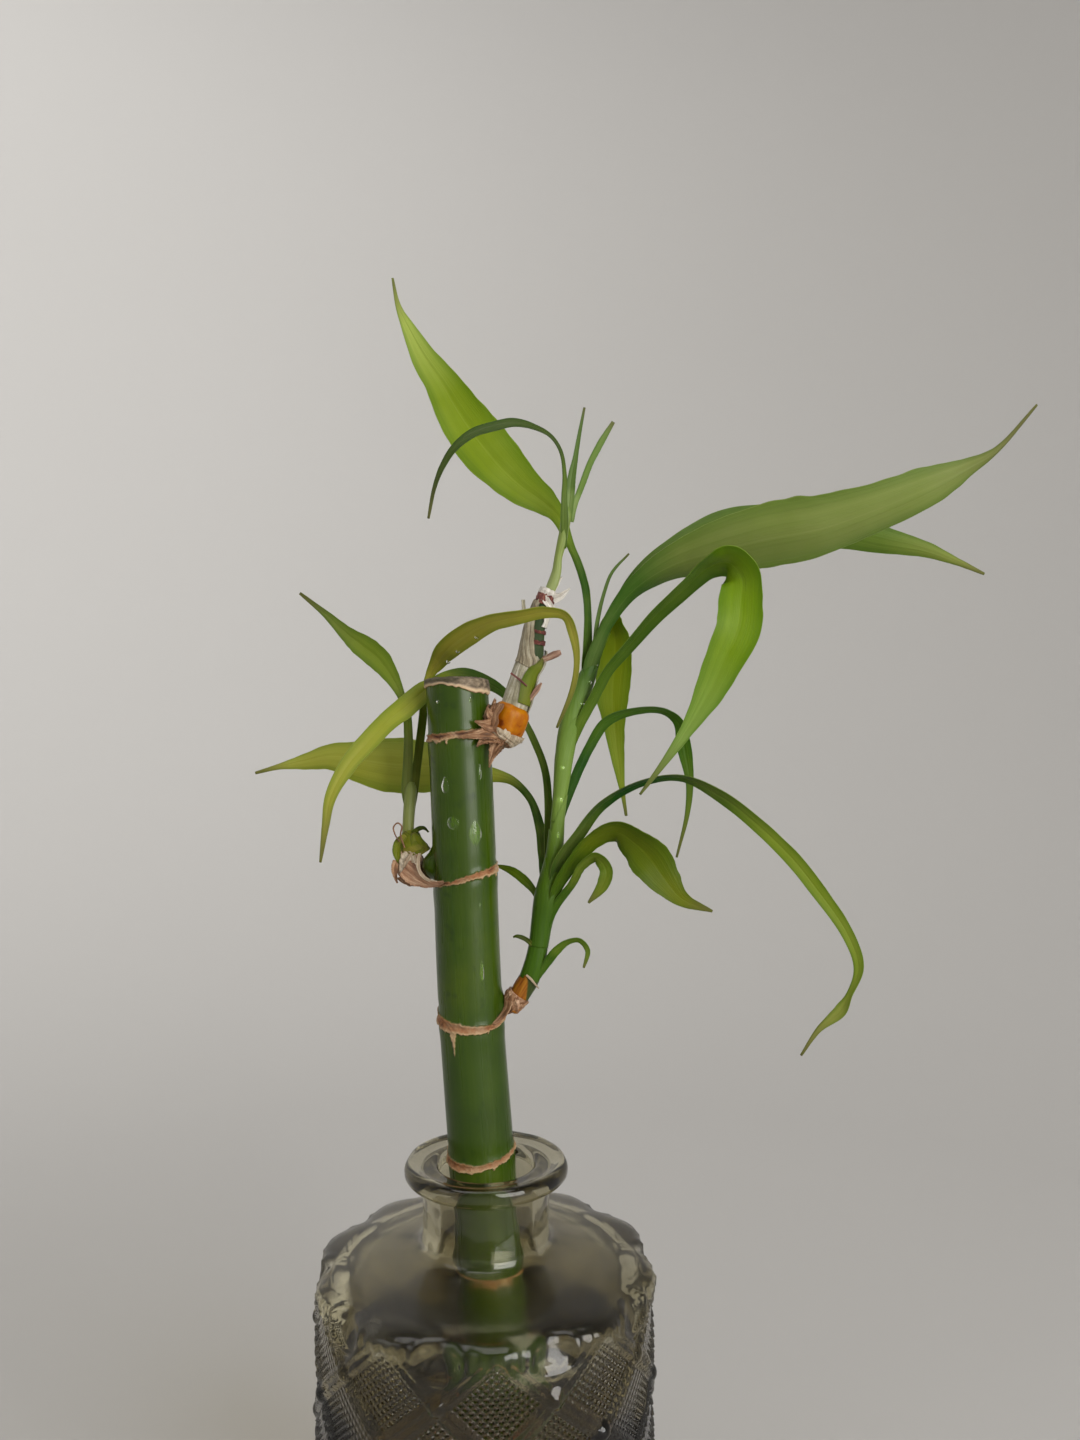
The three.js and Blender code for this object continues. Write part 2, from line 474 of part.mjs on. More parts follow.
const LEAVES = [
  // The left shoot's two leaves.
  { name: 'left_leaf_1', shoot: 'left', skin: leafYellow, cells: 4, cup: 0.25, stations: [
    [-22, 8.4, 240.5, 2.2, 0], [-21.5, 8.8, 248, 2.4, 0], [-21.5, 9.2, 256, 2.4, 0],
    [-22, 9.4, 262, 2.2, 5], [-23.5, 9.8, 266.5, 2.2, 10], [-26.5, 11, 272, 4.4, 12],
    [-30.5, 12.5, 277, 6.4, 12], [-35, 14, 280.5, 6.2, 12], [-39.5, 15.5, 284, 4, 10],
    [-45.5, 17, 289.5, 2, 10], [-53, 18.5, 295.5, 0.8, 0]] },
  { name: 'left_leaf_2', shoot: 'left', skin: leafYellow, cells: 4, cup: 0.2, stations: [
    [-20, 9.6, 241, 2, 0], [-19, 10.2, 250, 2.2, 5], [-18, 11.3, 259, 2.2, 5],
    [-17.5, 12.2, 265.5, 2.2, 5], [-16.9, 13, 269.5, 2.2, 0], [-15.9, 13, 272.6, 2.6, 0],
    [-13.8, 10.4, 275.6, 4.2, 10], [-10.5, 4, 278.8, 6, 20], [-4.5, -3, 282.5, 6.4, 25],
    [2, -9, 285, 5, 35], [9, -13, 286, 4.2, 40], [15.5, -15, 287, 3.6, 45], [20.5, -15, 286, 3.2, 45],
    [22.5, -14, 281.5, 3.2, 20], [23.5, -12, 275, 1.8, 20], [22.5, -10, 268, 1.6, 15],
    [18.5, -8, 258, 0.6, 0]] },
  // The top shoot's three leaves.
  { name: 'top_leaf_1', shoot: 'top', skin: leafDark, cells: 2, cup: 0.15, stations: [
    [20.5, -1.2, 312, 2, 0], [20.5, -1.6, 318, 1.6, 20], [20.5, -2.5, 324, 1.8, 55],
    [19.5, -4, 329.5, 2, 60], [17, -5.5, 333, 2.2, 55], [12.5, -7.5, 335, 2.4, 40],
    [7.5, -9.5, 335.5, 2.8, 25], [2.5, -11.5, 334, 2.8, 15], [-2.5, -13, 332, 2.6, 15],
    [-7, -14.5, 328, 2.2, 20], [-10, -15.5, 323, 1.8, 30], [-12, -16, 317.5, 1.2, 30],
    [-13.5, -16, 310, 0.6, 0]] },
  { name: 'top_leaf_2', shoot: 'top', skin: leafGreen, cells: 2, cup: 0.3, steps: 2, stations: [
    [21.5, 0.1, 312.5, 2.2, 0], [22, 0.2, 318, 2.4, 0], [22.5, 0.5, 323.5, 2.2, 0],
    [23.5, 1.2, 329, 1.4, 0], [24.5, 2, 335, 1, 0], [26, 3, 343, 0.6, 0]] },
  { name: 'top_leaf_3', shoot: 'top', skin: leafGreen, cells: 2, cup: 0.2, steps: 2, stations: [
    [22, 1.5, 312.5, 2.2, 0], [23.5, 2.4, 317.5, 1.6, 20], [25.5, 3.8, 323, 1.8, 25],
    [27.5, 5.2, 328.5, 1.8, 25], [30.5, 6.6, 334.5, 1.8, 20], [34, 8, 340.5, 1, 0]] },
  // The right shoot, from the fan at its top down to the small leaves at its foot.
  { name: 'right_leaf_01', shoot: 'right', skin: leafGreen, cells: 4, cup: -0.25, wave: [0.7, 3],
    steps: 2, stations: [
    [28, 4, 275, 2.4, 10], [32, 3.5, 285, 2.8, 20], [38.5, 2.5, 294, 5.2, 25],
    [48.5, 0, 300.5, 10, 30], [59, -4, 303.5, 14.6, 30], [71.5, -9, 306, 17, 30],
    [84.5, -13, 308, 16.4, 28], [97, -16, 312, 13.4, 25], [110.5, -18, 317.5, 10, 20],
    [119.5, -18, 322, 4.8, 20], [127, -17, 326.5, 2, 30], [138, -15, 338.5, 0.6, 20]] },
  { name: 'right_leaf_02', shoot: 'right', skin: leafGreen, cells: 4, cup: -0.2, stations: [
    [29, 6.6, 275, 2, 10], [30, 8.3, 281.5, 2.4, 20], [34, 10, 288.5, 3, 25],
    [42, 13, 299.5, 5.8, 30], [53.5, 17, 307.5, 9, 30], [68, 22, 314.5, 10.8, 30],
    [86, 27, 316, 11.4, 30], [101.5, 31, 315, 10.8, 28], [116, 34, 312.5, 7.8, 25],
    [128, 36, 310.5, 4.8, 20], [138, 37, 307, 2.2, 15], [146.5, 38, 303.5, 0.8, 0]] },
  { name: 'right_leaf_03', shoot: 'right', skin: leafYellow, cells: 4, cup: 0.2, stations: [
    [25.2, 2.2, 259.5, 2.2, 20], [28.4, 1.4, 266, 3, 30], [32, 0.4, 273, 3.6, 40],
    [37.5, -1, 279.5, 4.4, 45], [44, -3.5, 287, 5.2, 45], [51, -7.5, 293.5, 5.8, 45],
    [56.5, -11, 298.5, 7.8, 50], [61, -14, 299.5, 11.4, 55], [64, -17, 295.5, 10.2, 35],
    [63.5, -19, 289, 10.6, 12], [62.5, -20, 282.5, 11, 0], [59.5, -20, 275.5, 9.8, 0],
    [56, -19, 267.5, 7.6, 0], [51, -18, 258.5, 3.8, 5], [46, -17, 251, 2, 5], [39, -16, 241.5, 0.6, 0]] },
  { name: 'right_leaf_04', shoot: 'right', skin: leafGreen, cells: 4, cup: 0.15, stations: [
    [26.5, 5.5, 268, 2, 10], [28, 9.5, 273, 2.4, 20], [30.5, 12, 280.5, 3.6, 40],
    [32, 14, 285.5, 6, 50], [33.5, 15.5, 287, 7.8, 50], [35, 17, 283.5, 8.6, 25],
    [35, 18.5, 275.5, 10, 8], [34.5, 19.5, 266.5, 9, 0], [35, 20, 259.5, 6.4, 0],
    [36, 20.5, 250, 4, 0], [37.5, 20.5, 239.5, 1.4, 0], [38.5, 20.5, 233, 0.8, 0]] },
  { name: 'right_leaf_14', shoot: 'right', skin: leafYellow, cells: 4, cup: 0.18, wave: [0.5, 2], stations: [
    [27, 7, 274, 2, 10], [27, 7, 281.5, 2.2, 10], [27, 7, 288.5, 2, 10], [26.5, 7.5, 295, 2, 10],
    [25, 8.5, 301, 2, 10], [22.5, 10, 307.5, 2.2, 5], [19, 12, 316, 4.6, 5], [15, 13.5, 320, 8.4, 10],
    [9, 15, 324.5, 11.8, 12], [3, 17, 330.5, 14.8, 12], [-3, 18.5, 338, 15.4, 12],
    [-8.5, 19.5, 346, 13.4, 10], [-13.5, 20, 354.5, 9.8, 10], [-18.5, 20, 362, 7.2, 8],
    [-22.5, 19.5, 369.5, 4, 5], [-25.5, 19, 376, 1.6, 0], [-27, 18, 383.5, 0.6, 0]] },
  { name: 'right_leaf_15', shoot: 'right', skin: leafGreen, cells: 2, cup: 0.3, steps: 2, stations: [
    [28.5, 5, 274.5, 1.4, 0], [29.5, 5, 286, 1.4, 0], [31.5, 5, 294.5, 1.4, 0],
    [33.5, 5, 299.5, 1.4, 0], [38, 5, 304.5, 0.6, 0]] },
  { name: 'right_leaf_05', shoot: 'right', skin: leafGreen, cells: 2, cup: 0.15, stations: [
    [20, 3, 235.5, 2.8, 30], [23, 4, 243.5, 3.2, 35], [27, 6, 252, 3.2, 35], [32, 8, 259.5, 3.6, 40],
    [40, 10, 262.5, 3, 50], [48, 11, 262.5, 2.8, 55], [52, 11, 259.5, 3.2, 40],
    [53.5, 11, 253, 4, 15], [55, 11, 243.5, 2.2, 10], [54.5, 11, 235, 1.4, 0],
    [51.5, 11, 222.5, 0.6, 0]] },
  { name: 'right_leaf_11', shoot: 'right', skin: leafYellow, cells: 2, cup: 0.15, stations: [
    [16.5, 3.5, 222, 1.8, 30], [16.5, 4.5, 229.5, 2, 20], [16.5, 5.5, 237, 2, 10],
    [15.5, 8, 246.5, 2, 10], [12.5, 11.5, 254.5, 2, 10], [8.5, 14, 262, 2, 20],
    [4.5, 15.5, 267, 2.8, 35], [0, 16, 270.5, 3.2, 45], [-6.5, 15.5, 273.4, 2.8, 45],
    [-11.5, 14, 272.6, 2.2, 35], [-14, 10.2, 270.6, 3.2, 15], [-17, 7.4, 267.8, 5.4, 10],
    [-21.5, 4.5, 263.5, 6, 5], [-26, 0, 259.5, 5.2, 0], [-30.5, -5, 254, 5.2, 0],
    [-35, -9, 248, 4.4, 0], [-38.5, -12, 240.5, 3, 5], [-39.5, -14, 233, 1.8, 0],
    [-40.5, -15, 224.5, 0.6, 0]] },
  { name: 'right_leaf_12', shoot: 'right', skin: leafYellow, cells: 4, cup: -0.2, stations: [
    [15.4, 3.4, 218.2, 1.4, 10], [15, 5.6, 224, 1.4, 10], [14.2, 7.6, 231, 1.6, 10],
    [11.5, 11, 238.5, 2, 10], [6, 15, 243.5, 2.6, 15], [-1, 18, 245, 5, 20],
    [-9.5, 20, 246.5, 10.8, 20], [-18.5, 22, 247, 14.8, 18], [-28, 24, 247.5, 16, 15],
    [-37.5, 26, 248.5, 12.4, 15], [-46, 28, 249.5, 8, 15], [-54, 30, 248, 4.8, 10],
    [-61.5, 31, 246.5, 1.8, 10], [-69, 32, 244.5, 0.8, 0]] },
  { name: 'right_leaf_06', shoot: 'right', skin: leafGreen, cells: 2, cup: 0.25, stations: [
    [18.5, -1.5, 222.5, 2.6, 25], [24, -3, 230, 3.6, 30], [30, -5, 238, 3.4, 40],
    [40, -8, 244, 2.8, 50], [50, -11, 245.5, 2.6, 50], [59.5, -15, 241, 3.6, 35],
    [67.5, -18, 234.5, 3.6, 20], [75.5, -21, 226.5, 3.8, 15], [82, -23, 218, 3.6, 10],
    [88, -24, 209, 3, 15], [91, -24, 200.5, 2.4, 25], [89, -23, 193.5, 1.6, 40],
    [87, -22, 189.5, 3, 10], [82, -21, 184.5, 1.4, 0], [78, -20, 178, 0.6, 0]] },
  { name: 'right_leaf_07', shoot: 'right', skin: leafDark, cells: 4, cup: 0.2, wave: [0.8, 2],
    steps: 2, stations: [
    [19, -2.5, 217.5, 2.2, 20], [23, -4, 223.5, 3.4, 25], [28, -6, 229, 4.6, 25],
    [33.5, -8.5, 231.5, 6.8, 25], [38, -11, 229, 8.6, 20], [42, -13, 225, 10.4, 10],
    [45.5, -14, 220, 8, 0], [49.5, -15, 215.5, 4, 0], [57, -16, 212.5, 0.6, 0]] },
  { name: 'right_leaf_13', shoot: 'right', skin: leafDark, cells: 2, cup: 0.2, steps: 2, stations: [
    [14.5, 2.5, 211, 1.6, 30], [12.5, 4, 214.5, 1.8, 20], [10, 6, 217, 2.4, 10], [7, 8, 219, 2.2, 10],
    [4, 10.5, 220, 0.6, 0]] },
  { name: 'right_leaf_08', shoot: 'right', skin: leafGreen, cells: 2, cup: 0.2, steps: 2, stations: [
    [19, -1.5, 212, 1.6, 10], [22.5, -3.5, 217.5, 2, 20], [25, -6, 222.5, 2.6, 25],
    [28.5, -8.5, 225, 2.8, 35], [31, -10, 222, 2.4, 20], [30, -10, 218, 1.8, 0],
    [26.5, -9.5, 213.5, 0.6, 0]] },
  { name: 'right_leaf_09', shoot: 'right', skin: leafGreen, cells: 2, cup: 0.2, steps: 2, stations: [
    [16, -1.5, 196.5, 2.2, 10], [18.5, -2.5, 200, 2.4, 15], [21.5, -3.5, 202.5, 1.8, 30],
    [24.5, -4.5, 203, 1.6, 35], [26.5, -5, 200.5, 1.4, 20], [25.5, -5, 196, 0.6, 0]] },
];

// ---- Putting the plant in its bottle --------------------------------------

const object = new THREE.Group();

/** Adds one named piece to the object. */
function place(name, solid, skin) {
  const mesh = new THREE.Mesh(geometryOf(solid), skin);
  mesh.name = name;
  object.add(mesh);
}

const hollow = bottleHollow();
place('glass_vase', bottleOutside().subtract(hollow), glass);

// The water stands round the cane in a plain hole that widens round the roots.
const waterRadius = BODY_RADIUS - RIB_HEIGHT - GLASS_THICKNESS - GAP;
const [footX, footY] = CANE_ROUTE[0];
const rootWell = lathed([[0, 0], [ROOT_WELL_RADIUS, 0], [ROOT_WELL_RADIUS, ROOT_WELL_TOP],
  [0, ROOT_WELL_TOP]], 24).translate(footX, footY, 0);
const waterBody = lathed([[0, FLOOR_THICKNESS + GAP], [waterRadius - 3.7, FLOOR_THICKNESS + GAP],
  [waterRadius - 0.7, FLOOR_THICKNESS + 2.4], [waterRadius, FLOOR_THICKNESS + 6], [waterRadius, WATER_LEVEL],
  [0, WATER_LEVEL]], 32);
place('water', cutClear(waterBody, [cane(CANE_HOLE_GAP), rootWell]), water);

const caneRoom = cane(GAP);
place('cane', cane(), caneSkin);
place('roots', rootCluster(), rootSkin);

// Left shoot: a papery knob on the cane, green scales round a pale stem.
const leftKnob = cutClear(stem(LEFT_KNOB, { sides: 10 }), [caneRoom]);
const leftKnobRoom = stem(LEFT_KNOB, { sides: 10, grow: GAP });
const leftScales = cutClear(joined(stem(LEFT_SCALES, { sides: 10 }), stem(LEFT_CURL, { sides: 6 })),
  [caneRoom, leftKnobRoom]);
const leftScalesRoom = stem(LEFT_SCALES, { sides: 10, grow: GAP });
const leftStem = cutClear(stem(LEFT_STEM), [leftKnobRoom, leftScalesRoom]);
place('left_husk', leftKnob, dryHusk);
place('left_scales', leftScales, leafDark);
place('left_stem', leftStem, shootSkin);

// Top shoot: a star husk with a cup under it, an orange bud, a dry sheath and a green stem.
const budRoom = ovoid(BUD, { grow: GAP });
const topHusk = cutClear(joined(starHusk(STAR), ovoid(CUP, { sides: 10 })), [caneRoom, budRoom]);
const topHuskRoom = ovoid(CUP, { sides: 10, grow: GAP });
const bud = cutClear(ovoid(BUD), [caneRoom, starHusk({ ...STAR, reach: STAR.reach + 0.4 })]);
const sheath = cutClear(joined(stem(TOP_SHEATH, { sides: 10 }), stem(DRY_STUB, { sides: 6 }),
  stem(DRY_BRACT, { sides: 6 })), [budRoom, topHuskRoom, caneRoom]);
const sheathRoom = stem(TOP_SHEATH, { sides: 10, grow: GAP });
const topStem = cutClear(stem(TOP_STEM), [sheathRoom]);
place('top_husk', topHusk, dryHusk);
place('top_bud', bud, budSkin);
place('top_sheath', sheath, drySheath);
place('top_stem', topStem, shootSkin);

// Right shoot: a husk, an orange foot and the long green stem.
const rightHusk = cutClear(stem(RIGHT_HUSK, { sides: 10 }), [caneRoom]);
const rightHuskRoom = stem(RIGHT_HUSK, { sides: 10, grow: GAP });
const rightBase = cutClear(stem(RIGHT_BASE, { sides: 10 }), [rightHuskRoom, caneRoom]);
const rightBaseRoom = stem(RIGHT_BASE, { sides: 10, grow: GAP });
const rightStem = cutClear(joined(stem(RIGHT_STEM, { sides: 10 }), stem(TINY_LEAF, { sides: 6 })),
  [rightBaseRoom]);
place('right_husk', rightHusk, dryHusk);
place('right_base', rightBase, budSkin);
place('right_stem', rightStem, shootSkin);

// Each leaf is seated on its stem, clear of the leaves before it.
const rooms = {
  left: [stem(LEFT_STEM, { grow: GAP })],
  top: [stem(TOP_STEM, { grow: GAP })],
  right: [stem(RIGHT_STEM, { sides: 10, grow: GAP }), rightBaseRoom],
};
LEAVES.forEach(({ name, shoot, skin, stations, ...shape }) => {
  place(name, cutClear(blade(stations, shape), rooms[shoot]), skin);
  rooms[shoot].push(blade(stations, { ...shape, grow: GAP }));
});

export default object;
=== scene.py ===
# A lucky bamboo cutting that stands rooted in water, in a pressed glass bottle.
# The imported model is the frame: metres, +Z up, the bottle's foot at the origin,
# and the plant seen from -Y. Lengths in the sections below are in millimetres.

import math

import bpy
import numpy as np
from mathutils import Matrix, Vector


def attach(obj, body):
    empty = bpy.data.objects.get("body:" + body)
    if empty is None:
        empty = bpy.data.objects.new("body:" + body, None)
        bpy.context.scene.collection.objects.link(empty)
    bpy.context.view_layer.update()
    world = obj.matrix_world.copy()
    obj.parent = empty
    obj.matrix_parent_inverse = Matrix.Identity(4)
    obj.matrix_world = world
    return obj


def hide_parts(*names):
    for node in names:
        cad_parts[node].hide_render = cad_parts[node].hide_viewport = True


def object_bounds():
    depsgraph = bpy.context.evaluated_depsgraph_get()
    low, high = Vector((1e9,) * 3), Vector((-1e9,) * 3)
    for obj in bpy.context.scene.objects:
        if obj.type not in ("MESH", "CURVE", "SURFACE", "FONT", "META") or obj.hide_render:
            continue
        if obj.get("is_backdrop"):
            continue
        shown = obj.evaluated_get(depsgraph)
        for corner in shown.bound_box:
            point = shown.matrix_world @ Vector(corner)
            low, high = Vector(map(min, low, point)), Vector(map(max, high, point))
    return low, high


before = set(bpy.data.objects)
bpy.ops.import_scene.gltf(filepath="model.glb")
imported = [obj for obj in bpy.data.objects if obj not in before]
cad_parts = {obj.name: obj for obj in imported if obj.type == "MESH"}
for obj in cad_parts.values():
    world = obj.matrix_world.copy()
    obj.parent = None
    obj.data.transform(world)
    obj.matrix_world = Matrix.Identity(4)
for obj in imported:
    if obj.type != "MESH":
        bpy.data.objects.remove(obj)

cad_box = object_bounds()
scene = bpy.context.scene


# ---- The room -------------------------------------------------------------------------------
# A pale seamless bowl: a flat floor that sweeps up into a wall all round. A large soft window
# light stands at the front right, weaker ones to the left, above and along the wall, and the
# camera is level with the cane's upper half.

MM = 0.001
FLOOR_RADIUS = 480
SWEEP_RADIUS = 1000
WALL_HEIGHT = 2300
WALL_COLOUR = (0.51, 0.498, 0.480)
CLOUD_GAIN = 1.04                  # how much brighter the wall's pale patches are
EYE = (14.2, -286, 260)            # the camera's place, in millimetres
LENS, FILM_WIDTH = 27.2, 36


def rounded(corners):
    """A polyline with its corners cut three times: each time, every side keeps its middle half."""
    line = np.array(corners, float)
    for _ in range(3):
        quarter = line[:-1] * 0.75 + line[1:] * 0.25
        three = line[:-1] * 0.25 + line[1:] * 0.75
        middle = np.stack([quarter, three], 1).reshape(-1, line.shape[1])
        line = np.vstack([line[:1], middle, line[-1:]])
    return line


def far_along(line):
    """How far along a polyline each of its points is."""
    return np.r_[0, np.cumsum(np.linalg.norm(np.diff(line, axis=0), axis=1))]


def spread(line, count):
    """Points at even distances along a polyline."""
    far = far_along(line)
    even = np.linspace(0, far[-1], count)
    return np.stack([np.interp(even, far, line[:, k]) for k in range(line.shape[1])], 1)


def circle(count):
    """A row of even angles round a circle."""
    return np.linspace(0, 2 * np.pi, count, endpoint=False)[None, :]


def turned(profile, columns):
    """A grid of points (rows, columns, 3): each (radius, height) of a profile carried round Z.
    The angle starts at the front, -Y, and runs towards +X."""
    angle = circle(columns)
    radius, height = profile[:, :1], profile[:, 1:]
    return np.stack([radius * np.sin(angle), -radius * np.cos(angle), height + 0 * angle], -1)


def skin(name, points, material, uv=None, ends=True, **values):
    """A mesh over a grid of points in millimetres. Quad (i, j) joins rows i and i + 1 and
    columns j and j + 1, the last column is joined to the first, and ends closes the first and
    last rows with fans round their middles. uv is one pair a grid corner, the first column's
    again at the end, and every further value is kept as an attribute of its points."""
    rows, columns = points.shape[:2]
    here = np.arange(rows * columns).reshape(rows, columns)
    ahead = np.roll(here, -1, axis=1)
    faces = np.stack([here[:-1], ahead[:-1], ahead[1:], here[1:]], -1).reshape(-1, 4).tolist()
    places = [points.reshape(-1, 3)]
    if ends:
        for row, (a, b) in ((0, (ahead, here)), (rows - 1, (here, ahead))):
            middle = rows * columns + len(places) - 1
            places.append(points[row].mean(0)[None])
            faces += [(p, q, middle) for p, q in zip(a[row].tolist(), b[row].tolist())]
    mesh = bpy.data.meshes.new(name)
    mesh.from_pydata(np.vstack(places) * MM, [], faces)
    mesh.polygons.foreach_set("use_smooth", [True] * len(faces))
    for value, field in values.items():
        flat = [np.broadcast_to(field, (rows, columns)).reshape(-1)]
        if ends:
            flat += [flat[0][:columns].mean()[None], flat[0][-columns:].mean()[None]]
        layer = mesh.attributes.new(value, "FLOAT", "POINT")
        layer.data.foreach_set("value", np.concatenate(flat).astype(np.float32))
    if uv is not None:
        quads = np.stack([uv[:-1, :-1], uv[:-1, 1:], uv[1:, 1:], uv[1:, :-1]], 2).reshape(-1, 2)
        corners = [quads]
        if ends:
            for row, way in ((0, -1), (rows - 1, 1)):
                sides = np.stack([uv[row, :-1], uv[row, 1:]][::way], 1)
                middle = np.broadcast_to(uv[row].mean(0), (sides.shape[0], 1, 2))
                corners.append(np.concatenate([sides, middle], 1).reshape(-1, 2))
        layer = mesh.uv_layers.new(name="surface")
        layer.data.foreach_set("uv", np.concatenate(corners).astype(np.float32).reshape(-1))
    mesh.materials.append(material)
    thing = bpy.data.objects.new(name, mesh)
    scene.collection.objects.link(thing)
    return thing


def node(tree, kind, inputs=None, **settings):
    """A node of a tree, with its settings, and its inputs as numbers or other nodes' sockets."""
    made = tree.nodes.new("ShaderNode" + kind)
    for name, value in settings.items():
        setattr(made, name, value)
    for name, value in (inputs or {}).items():
        if isinstance(value, bpy.types.NodeSocket):
            tree.links.new(value, made.inputs[name])
        else:
            made.inputs[name].default_value = value
    return made


def new_material(name, **sockets):
    """An empty material: its tree and its Principled shader, with the shader's own values."""
    material = bpy.data.materials.new(name)
    material.use_nodes = True
    shader = material.node_tree.nodes["Principled BSDF"]
    for socket, value in sockets.items():
        shader.inputs[socket.replace("_", " ")].default_value = value
    return material, material.node_tree, shader


def colour(red, green, blue, gain=1.0):
    """A colour seen in the photograph, from 0 to 255, as linear light."""
    value = np.array([red, green, blue]) / 255
    light = np.where(value < 0.04045, value / 12.92, ((value + 0.055) / 1.055) ** 2.4) * gain
    return (*np.minimum(light, 1).tolist(), 1.0)


def noise(tree, scale, detail, roughness=0.5, distortion=0.0):
    """Noise in the object's own space, from 0 to 1."""
    place = node(tree, "TexCoord").outputs["Object"]
    return node(tree, "TexNoise", {"Vector": place, "Scale": scale, "Detail": detail, "Roughness": roughness,
                                   "Distortion": distortion}).outputs["Fac"]


def ramp(factor, stops):
    """A colour ramp from (position, colour) stops."""
    made = node(factor.id_data, "ValToRGB", {"Fac": factor})
    band = made.color_ramp
    while len(band.elements) < len(stops):
        band.elements.new(0.5)
    for element, (position, value) in zip(band.elements, stops):
        element.position, element.color = position, value
    return made.outputs["Color"]


def feed(shader, **sources):
    """Joins other nodes' sockets to a shader's own."""
    for socket, source in sources.items():
        shader.id_data.links.new(source, shader.inputs[socket.replace("_", " ")])


wall_paint, tree, shader = new_material("wall_paint", Roughness=0.9)
pale = [value * CLOUD_GAIN for value in WALL_COLOUR]
feed(shader, Base_Color=ramp(noise(tree, 1.3, 2.0), [(0, (*WALL_COLOUR, 1)), (1, (*pale, 1))]))

sweep = np.linspace(0, np.pi / 2, 24)
bowl = np.vstack([
    [[2, 0], [FLOOR_RADIUS, 0]],
    np.stack([FLOOR_RADIUS + SWEEP_RADIUS * np.sin(sweep), SWEEP_RADIUS * (1 - np.cos(sweep))], 1),
    [[FLOOR_RADIUS + SWEEP_RADIUS, WALL_HEIGHT]],
])
backdrop = skin("backdrop", turned(bowl, 96)[:, ::-1], wall_paint, ends=False)
backdrop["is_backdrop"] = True

camera = bpy.data.objects.new("camera", bpy.data.cameras.new("camera"))
camera.data.lens, camera.data.sensor_width = LENS, FILM_WIDTH
camera.data.clip_start = 0.01
camera.location = [value * MM for value in EYE]
camera.rotation_euler = (math.pi / 2, 0, 0)
scene.collection.objects.link(camera)
scene.camera = camera


def area_lamp(name, size, watts, tint, location, rotation):
    """A soft rectangular lamp, in metres and radians, that the camera doesn't see."""
    lamp = bpy.data.lights.new(name, "AREA")
    lamp.shape, lamp.size, lamp.size_y = "RECTANGLE", *size
    lamp.energy, lamp.color = watts, tint
    thing = bpy.data.objects.new(name, lamp)
    thing.location, thing.rotation_euler = location, rotation
    thing.visible_camera = False
    scene.collection.objects.link(thing)


def soft_light(name, azimuth, height, away, size, watts, tint, aim=0.2):
    """A lamp at an azimuth in degrees from the front towards +X, turned to look at a point of
    the bottle's axis, aim metres up."""
    turn = math.radians(azimuth)
    area_lamp(name, size, watts, tint, (away * math.sin(turn), -away * math.cos(turn), height),
              (math.atan2(away, height - aim), 0, turn))


soft_light("window", 38, 0.53, 1.0, (0.66, 1.0), 12.5, (1.0, 0.985, 0.96), 0.45)
soft_light("room", -60, 1.1, 1.3, (1.0, 1.0), 2.6, (0.97, 0.98, 1.0))
soft_light("ceiling", 0, 1.9, 0.15, (1.2, 1.2), 8, (1.0, 0.985, 0.96))
area_lamp("wall_wash", (1.3, 1.3), 8.6, (1, 1, 1), (-0.66, 0.42, 1.22),
          (math.radians(72), 0, math.radians(10)))
scene.world = bpy.data.worlds.new("air")
scene.world.use_nodes = True
sky = scene.world.node_tree.nodes["Background"]
sky.inputs["Color"].default_value = (0.96, 0.97, 1.0, 1)
sky.inputs["Strength"].default_value = 0.16
scene.view_settings.view_transform = "Standard"


# ---- The bottle -----------------------------------------------------------------------------
# Smoky olive glass, pressed in a mould: a round body with a net of double ribs that cross in
# round studs, hobnail dots in every full diamond and a thumbprint in every half one, under a
# plain shoulder, a short neck and a thick flat rim.

REPEATS = 10                       # diamonds round the body
FIRST_STUD = math.radians(6)       # the top row's first crossing, from the front
NET_TOP, NET_STEP = 118, 12        # the top row of crossings, and from one row to the next
WALL_RADIUS = 43.2
RIB_HEIGHT, RIB_APART, RIB_WIDTH = 0.95, 0.95, 0.5    # each ridge of a rib; apart is from its middle
STUD_HEIGHT, STUD_RADIUS = 1.7, 2.2
PRINT_HEIGHT, PRINT_SIZE = 115.6, (6.2, 4.2)          # the thumbprints' middle and half axes
DOTS_PER_RIB = 12
BOTTLE_COLUMNS = 440
ROWS_INSIDE = 30 + 18              # the inside's rows, and the rim's from its top inwards

foot = rounded([(0.2, 1.0), (30, 1.0), (34.5, 0.6), (36, 0), (39.6, 0), (42.4, 1.0), (WALL_RADIUS, 4),
                (WALL_RADIUS, 8)])
body = np.array([(WALL_RADIUS, 8), (WALL_RADIUS, 115.4)])
shoulder = rounded([(WALL_RADIUS, 115.4), (43.3, 118.2), (41.4, 119.3), (38, 120.1), (29, 121.6), (20, 122.7),
                    (16.9, 123.4), (16.5, 125.5), (16.5, 128)])
neck = np.array([(16.5, 128), (16.5, 138.2)])
rim = rounded([(16.5, 138.2), (16.7, 139.9), (18.6, 140.3), (21.0, 140.6), (21.35, 142.2), (21.25, 144.1),
               (20.4, 145.0), (18.8, 144.9), (17.6, 144.3), (15.2, 144.1), (13.4, 144.1), (12.3, 143.2),
               (12.2, 141)])
inside = rounded([(12.2, 141), (12.25, 124.5), (12.6, 121.8), (15.5, 119.6), (28, 118.2), (36.5, 116.2),
                  (39.5, 113.2), (39.7, 108), (39.7, 60), (39.7, 14), (39.4, 9), (36.5, 6.4), (30, 6),
                  (0.2, 6)])
profile = np.vstack([spread(foot, 10)[:-1], spread(body, 134)[:-1], spread(shoulder, 19)[:-1],
                     spread(neck, 7)[:-1], spread(rim, 24)[:-1], spread(inside, 30)])
is_outside = np.arange(len(profile)) < len(profile) - ROWS_INSIDE


